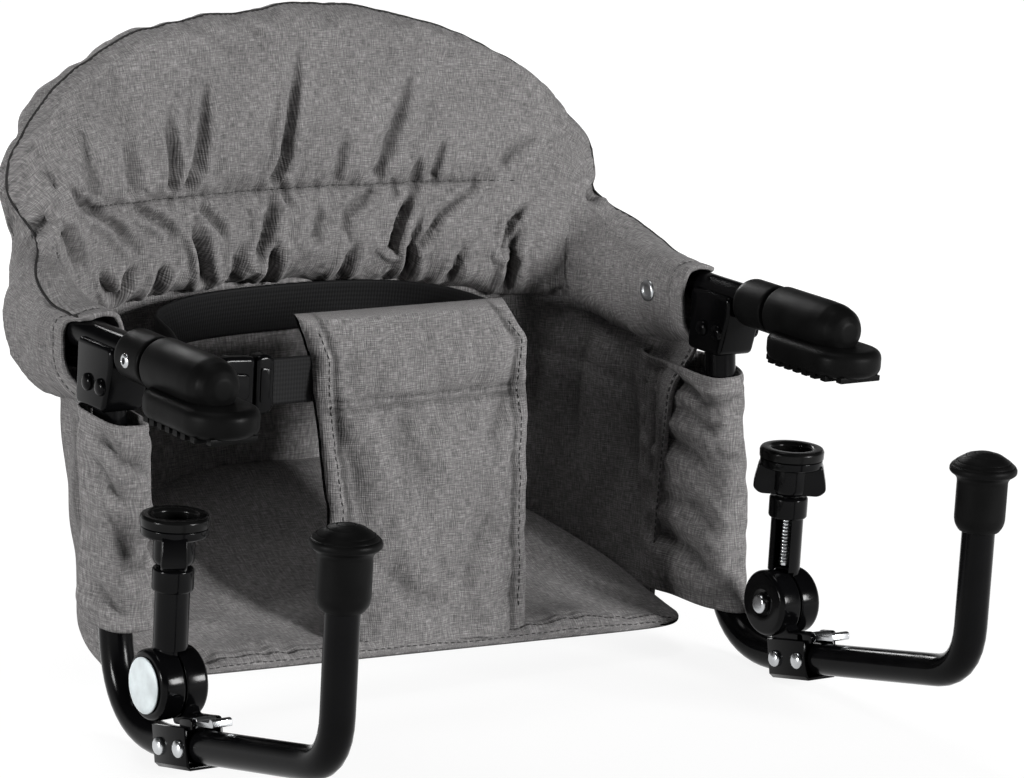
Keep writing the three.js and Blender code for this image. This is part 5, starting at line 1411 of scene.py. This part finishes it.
    def knob(self, name, x):
        """Winged knob with its top plate and screw head, and the rubber pressure ring."""
        y, z = PIVOT
        body = f"{name}_knob_screw"
        place = Matrix.Translation((x, y, z)) @ Matrix.Rotation(math.radians(KNOB_TURN[name]), 4, "Z")
        bm = bmesh.new()
        hub = [(4.4, KNOB_BASE), (9, KNOB_BASE), (11, KNOB_BASE + 3), (11, 80), (4.4, 80)]
        turn(bm, rounded(hub, 1.5, closed=False), place, 40)
        wing = [(-17, KNOB_BASE + 0.6), (17, KNOB_BASE + 0.6), (20.8, KNOB_BASE + 4), (20.3, KNOB_BASE + 8),
                (18, 82), (-18, 82), (-20.3, KNOB_BASE + 8), (-20.8, KNOB_BASE + 4)]
        extrude(bm, rounded(wing, 2.4, 4), 13.6, place @ side_plane(0), 2.4, 4)
        plate = [(7.5, 79.2), (16.6, 79.2), (17.8, 80.2), (17.8, KNOB_TOP), (7.5, KNOB_TOP), (7.5, 82),
                 (0, 82)]
        turn(bm, rounded(plate, 0.4, closed=False), place, 48)
        piece(bm, f"{name}_knob_skin", "gloss_plastic", (f"{name}_knob",), body)
        head = [(0, 82.2), (6.6, 82.2), (6.6, 84.4), (5, 85.6), (2.6, 85.6), (2.4, 84.6), (0, 84.6)]
        turned(f"{name}_knob_screw_head", "zinc_plate", head, 0.6, place, 32, (), body)
        low, edge = KNOB_TOP + 0.4, RING_TOP - 1.6
        ring = [(11.4, low), (18.2, low), (18.4, edge), (17.4, RING_TOP), (12.6, RING_TOP), (11.4, edge),
                (11.4, low)]
        turned(f"{name}_pressure_ring_skin", "polished_rubber", ring, 0.5, Matrix.Translation((x, y, z)), 56,
               (f"{name}_pressure_ring",), f"{name}_pressure_pad", sharp=30)

    def lever(self, name, x):
        """Sheet-metal release lever with a turned-up tip, on its barrel."""
        run = on_run(x)
        tab = [(-18, 11.6), (-18, 14.4), (-33.2, 14.4), (-34.6, 16.4), (-37.2, 15.6), (-37.2, 11.6)]
        bm = bmesh.new()
        extrude(bm, rounded(tab, 0.9), 12, run @ side_plane(0), 0.5, 2)
        barrel = rounded([(0, -6), (3, -6), (3, 6), (0, 6)], 0.5, closed=False)
        turn(bm, barrel, run @ along_x(0, -18.5, 13, 1), 24)
        piece(bm, f"{name}_release_lever_skin", "zinc_plate", (f"{name}_release_lever",),
              f"{name}_lever")


class CHAIR_OT_back(bpy.types.Operator):
    """Padded back that runs on as the arm sleeves, with its seams, hem stitches and snaps"""
    bl_idname = "chair.back"
    bl_label = "Padded back"

    def execute(self, context):
        nodes = ("back_cushion", "left_arm_sleeve", "right_arm_sleeve")
        cloth("padded_back", *BACK_GRID, back_shape, nodes, fill=0.6, levels=0, sewn=back_sewn)
        front_share = FRONT_ROWS / BACK_GRID[1]
        u = np.linspace(0.045, 0.955, 700)
        rim = back_shape(u, np.full_like(u, front_share * 0.985))[0]
        cord = tube_shape(resample(rim, 2), 0.8, (0, 1, 0))
        cloth("back_rim_seam", 420, 6, cord, fill=1.0, material="dark_thread", levels=0)
        channel = np.linspace(0.28, 0.74, 400)
        v = np.full_like(channel, SEAM_V / RIM_V * front_share)
        rows = [(back_shape, channel, v, (0, -1, 0))]
        hem = context.scene.chair_sizes.hem_w / MM
        at = HEM_SHARE + (hem / BACK_END) * (1 - 2 * HEM_SHARE)
        around = np.linspace(0.1, 0.98, 160)
        for u, way in ((at, 1), (1 - at, -1)):
            rows.append((back_shape, np.full_like(around, u), around, (way, 0, 0.3)))
        stitches("back_stitches", rows)
        snap = [(0, 0), (6.5, 0), (6.5, 1), (5.4, 2), (3.4, 2), (2.8, 1.2), (0, 1.2)]
        for name, sign in SIDES:
            place = along_x(sign * SNAP[0], SNAP[1], SNAP[2], -sign)
            turned(f"{name}_snap_cap", "zinc_plate", snap, 0.4, place, 32, (f"{name}_sleeve_snap",))
        return {"FINISHED"}


class CHAIR_OT_shell(bpy.types.Operator):
    """Side panels and back panel of the seat, with the double row at their front edges"""
    bl_idname = "chair.shell"
    bl_label = "Seat shell"

    def execute(self, context):
        for name, (first, last, columns, seed) in WALLS.items():
            cloth(f"{name}_cloth", columns, 60, wall_shape(first, last, seed), (name,), fill=0.2, thick=3)
        v = np.linspace(0.04, 0.96, 160)
        rows = []
        for name, edges, way in (("right", (0.03, 0.05), -1), ("left", (0.97, 0.95), 1)):
            first, last, _, seed = WALLS[f"{name}_side_panel"]
            for u in edges:
                rows.append((wall_shape(first, last, seed), np.full_like(v, u), v, (way, 0, 0)))
        stitches("shell_stitches", rows, lift=1.5)
        return {"FINISHED"}


class CHAIR_OT_legs(bpy.types.Operator):
    """Fabric sleeves on the legs"""
    bl_idname = "chair.legs"
    bl_label = "Leg sleeves"

    def execute(self, context):
        for name, sign in SIDES:
            cloth(f"{name}_leg_cloth", 84, 96, leg_shape(name, sign), (f"{name}_leg_sleeve",), fill=0.1)
        return {"FINISHED"}


class CHAIR_OT_seat(bpy.types.Operator):
    """Seat pad over its board, with the stitched front edge"""
    bl_idname = "chair.seat"
    bl_label = "Seat"

    def execute(self, context):
        cloth("seat_pad", 130, 100, seat_shape, ("seat_cushion", "seat_board"), fill=0.8)
        u = np.linspace(0.06, 0.94, 300)
        edge = [SEAT_TOP_SHARE * (1 - back) for back in (0.055, 0.16)]
        stitches("seat_stitches", [(seat_shape, u, np.full_like(u, v), (0, 0, 1)) for v in edge])
        return {"FINISHED"}


class CHAIR_OT_panel(bpy.types.Operator):
    """Panel between the legs with its hems and the double row under the belt's tunnel"""
    bl_idname = "chair.panel"
    bl_label = "Crotch panel"

    def execute(self, context):
        cloth("panel_pad", 96, 150, panel_shape, ("crotch_panel",), fill=0.5)
        v = np.linspace(0.03, 0.56, 200)
        rows = [(panel_shape, np.full_like(v, u), v, (0, -1, 0)) for u in (0.072, 0.928)]
        across = np.linspace(0.05, 0.95, 150)
        height = PANEL_HEAD[1] - PANEL_FOOT[1]
        for z in (PANEL_TUNNEL_Z, PANEL_TUNNEL_Z + PANEL_ROW_GAP):
            climb = ((z - PANEL_FOOT[1]) / height) ** (1 / PANEL_RISE_POWER)
            rows.append((panel_shape, across, np.full_like(across, PANEL_FRONT_SHARE * climb), (0, -1, 0)))
        stitches("panel_stitches", rows)
        return {"FINISHED"}


class CHAIR_OT_belt(bpy.types.Operator):
    """Waist belt, its buckle and the strap that slides into the panel"""
    bl_idname = "chair.belt"
    bl_label = "Belt and buckle"

    def execute(self, context):
        loop = []
        for i in range(9):
            angle = math.pi * (1 - i / 8)
            reach = BELT_LEFT_X if math.cos(angle) < 0 else BELT_RIGHT_X
            back = math.sin(angle) ** 0.8 if math.sin(angle) > 1e-9 else 0.0
            loop.append((reach * abs(math.cos(angle)) ** 0.8, BELT_REAR_Y + BELT_DEPTH * back,
                         BELT_Z + BELT_LIFT * (0.5 + 0.5 * back)))
        line = [(-126.4, BELT_Y, BELT_Z), (-131.5, 131, BELT_Z), (-131, 150, BELT_Z + 3)] + loop
        line += [(88, 150, BELT_Z), (80, 132, BELT_Z)] + [(x, BELT_Y, BELT_Z) for x in (74, 69, 40)]
        strap = [(x, BELT_Y, BELT_Z) for x in (-87.4, -60, 8)]
        self.web("waist_belt", resample(spline(line), 3), 260, BELT_W, FRAME)
        self.web("buckle_strap", resample(strap, 3), 60, STRAP_W, "buckle_half")
        self.buckle()
        return {"FINISHED"}

    def web(self, node, line, columns, width, body):
        """A flat strap along a line, cut to that line's length."""
        strap = cloth(f"{node}_web", columns, 14, strap_shape(line, width, (0, 0, 1)), (node,),
                      material="nylon_webbing", body=body, levels=0, thick=WEB_T)

    def buckle(self):
        """Buckle: a socket with a ridge, and a head with a bar."""
        place = Matrix.Translation((0, BELT_Y, BELT_Z)) @ front_plane()
        bm = bmesh.new()
        socket = rounded([(-126, -14), (-118, -17), (-100, -16), (-100, 16), (-118, 17), (-126, 14)], 3)
        extrude(bm, socket, 11, place, 2.6, 3)
        ridge = rounded([(-123, -9), (-104, -7), (-104, 7), (-123, 9)], 3)
        extrude(bm, ridge, 2.4, place @ Matrix.Translation((0, 0, 5.6)), 1.0, 3)
        piece(bm, "buckle_socket_skin", "gloss_plastic", ("buckle_socket",))
        bm = bmesh.new()
        head = rounded([(-99.4, -16), (-92, -17), (-87.6, -14), (-87.6, 14), (-92, 17), (-99.4, 16)], 2.5)
        extrude(bm, head, 11, place, 2.4, 3)
        bar = rounded([(-97, -10), (-90, -9), (-90, 9), (-97, 10)], 2)
        extrude(bm, bar, 2.0, place @ Matrix.Translation((0, 0, 5.4)), 0.8, 2)
        piece(bm, "buckle_head_skin", "gloss_plastic", ("buckle_tongue",), "buckle_half")


class CHAIR_OT_stage(bpy.types.Operator):
    """Finish of the nodes that stay, floor, light and camera"""
    bl_idname = "chair.stage"
    bl_label = "Stage"

    def execute(self, context):
        scene = context.scene
        for name, _ in SIDES:
            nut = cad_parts[f"{name}_screw_nut"]
            nut.data.materials.clear()
            nut.data.materials.append(stuff("zinc_plate"))
        self.floor(scene)
        self.world(scene)
        for name, place, energy, size in LAMPS:
            self.lamp(scene, name, Vector(place), energy, size)
        camera = bpy.data.cameras.new("camera")
        camera.lens = CAMERA_LENS
        camera.sensor_width = CAMERA_SENSOR
        eye = bpy.data.objects.new("camera", camera)
        eye.matrix_world = axes(CAMERA_RIGHT, CAMERA_UP, CAMERA_BACK, CAMERA_PLACE)
        scene.collection.objects.link(eye)
        scene.camera = eye
        scene.view_settings.view_transform = "Standard"
        return {"FINISHED"}

    def floor(self, scene):
        """Pale floor: lit for the object's shadow, and white to the camera."""
        half = scene.chair_sizes.floor_half
        bm = bmesh.new()
        bmesh.ops.create_grid(bm, x_segments=1, y_segments=1, size=half)
        bmesh.ops.translate(bm, vec=(0, 0, CAD_BOX[0][2] - 0.0005), verts=bm.verts)
        floor = placed(bm, "floor")
        material, tree, shader = blank("white_floor")
        place = add_node(tree, "ShaderNodeTexCoord").outputs["Object"]
        speckle = add_node(tree, "ShaderNodeTexNoise", {"Vector": place, "Scale": 40.0})
        colour = scene.chair_colours.floor[:]
        tone = ramp(tree, speckle.outputs["Fac"], (0.3, shade(colour, 0.98)), (0.7, colour))
        tree.links.new(tone, shader.inputs["Base Color"])
        shader.inputs["Roughness"].default_value = 0.9
        rays = add_node(tree, "ShaderNodeLightPath").outputs
        seen = calculate(tree, "MAXIMUM", rays["Is Camera Ray"], rays["Is Glossy Ray"])
        # Whiter away from the object, so that the floor fades into the surroundings
        away = add_node(tree, "ShaderNodeVectorMath", {0: place}, operation="LENGTH")
        glow = remap(tree, away.outputs["Value"], 0.35, 1.4, 0.88, 1.0)
        tree.links.new(calculate(tree, "MULTIPLY", seen, glow), shader.inputs["Emission Strength"])
        shader.inputs["Emission Color"].default_value = (1, 1, 1, 1)
        floor.data.materials.append(material)

    def world(self, scene):
        """Soft dim surroundings; the camera sees white, and glossy skins see white near the horizon."""
        world = bpy.data.worlds.new("studio")
        world.use_nodes = True
        scene.world = world
        tree = world.node_tree
        background = tree.nodes["Background"]
        rays = add_node(tree, "ShaderNodeLightPath").outputs
        way = add_node(tree, "ShaderNodeTexCoord").outputs["Generated"]
        split = add_node(tree, "ShaderNodeSeparateXYZ", {0: way})
        height = calculate(tree, "ABSOLUTE", split.outputs["Z"])
        band = remap(tree, height, 0.02, 0.3, 1.0, 0.0)
        clear = calculate(tree, "MAXIMUM", rays["Is Glossy Ray"], rays["Is Transmission Ray"])
        shiny = calculate(tree, "MULTIPLY", clear, band)
        seen = calculate(tree, "MAXIMUM", rays["Is Camera Ray"], shiny)
        tree.links.new(remap(tree, seen, 0.0, 1.0, AMBIENT, 1.0), background.inputs["Strength"])
        background.inputs["Color"].default_value = (1, 1, 1, 1)

    def lamp(self, scene, name, place, energy, size):
        """A square soft lamp turned to the chair's middle."""
        light = bpy.data.lights.new(name, "AREA")
        light.energy = energy
        light.size = size
        lamp = bpy.data.objects.new(name, light)
        lamp.location = place
        lamp.rotation_euler = (Vector(LAMP_TARGET) - place).to_track_quat("-Z", "Y").to_euler()
        scene.collection.objects.link(lamp)


class CHAIR_PT_build(bpy.types.Panel):
    """Sizes, colours and building steps of the chair"""
    bl_label = "Hook-on chair"
    bl_idname = "CHAIR_PT_build"
    bl_space_type = "VIEW_3D"
    bl_region_type = "UI"
    bl_category = "Chair"

    def draw(self, context):
        layout = self.layout
        for group in (context.scene.chair_sizes, context.scene.chair_colours):
            box = layout.box()
            for name in group.__annotations__:
                box.prop(group, name)
        for operator in OPERATORS:
            layout.operator(operator.bl_idname)


OPERATORS = (CHAIR_OT_tubes, CHAIR_OT_plugs, CHAIR_OT_grips, CHAIR_OT_brackets, CHAIR_OT_clamps,
             CHAIR_OT_back, CHAIR_OT_shell, CHAIR_OT_legs, CHAIR_OT_seat, CHAIR_OT_panel, CHAIR_OT_belt,
             CHAIR_OT_stage)
CLASSES = (ChairSizes, ChairColours, *OPERATORS, CHAIR_PT_build)


def register():
    """Registers the classes and hangs the properties on the scene."""
    for cls in CLASSES:
        bpy.utils.register_class(cls)
    bpy.types.Scene.chair_sizes = bpy.props.PointerProperty(type=ChairSizes)
    bpy.types.Scene.chair_colours = bpy.props.PointerProperty(type=ChairColours)


def unregister():
    """Takes the properties and the classes away again."""
    del bpy.types.Scene.chair_colours
    del bpy.types.Scene.chair_sizes
    for cls in reversed(CLASSES):
        bpy.utils.unregister_class(cls)


def main():
    """Builds every piece in order."""
    register()
    for step in ("tubes", "plugs", "grips", "brackets", "clamps", "back", "shell", "legs", "seat", "panel",
                 "belt", "stage"):
        getattr(bpy.ops.chair, step)()


if __name__ == "__main__":
    main()
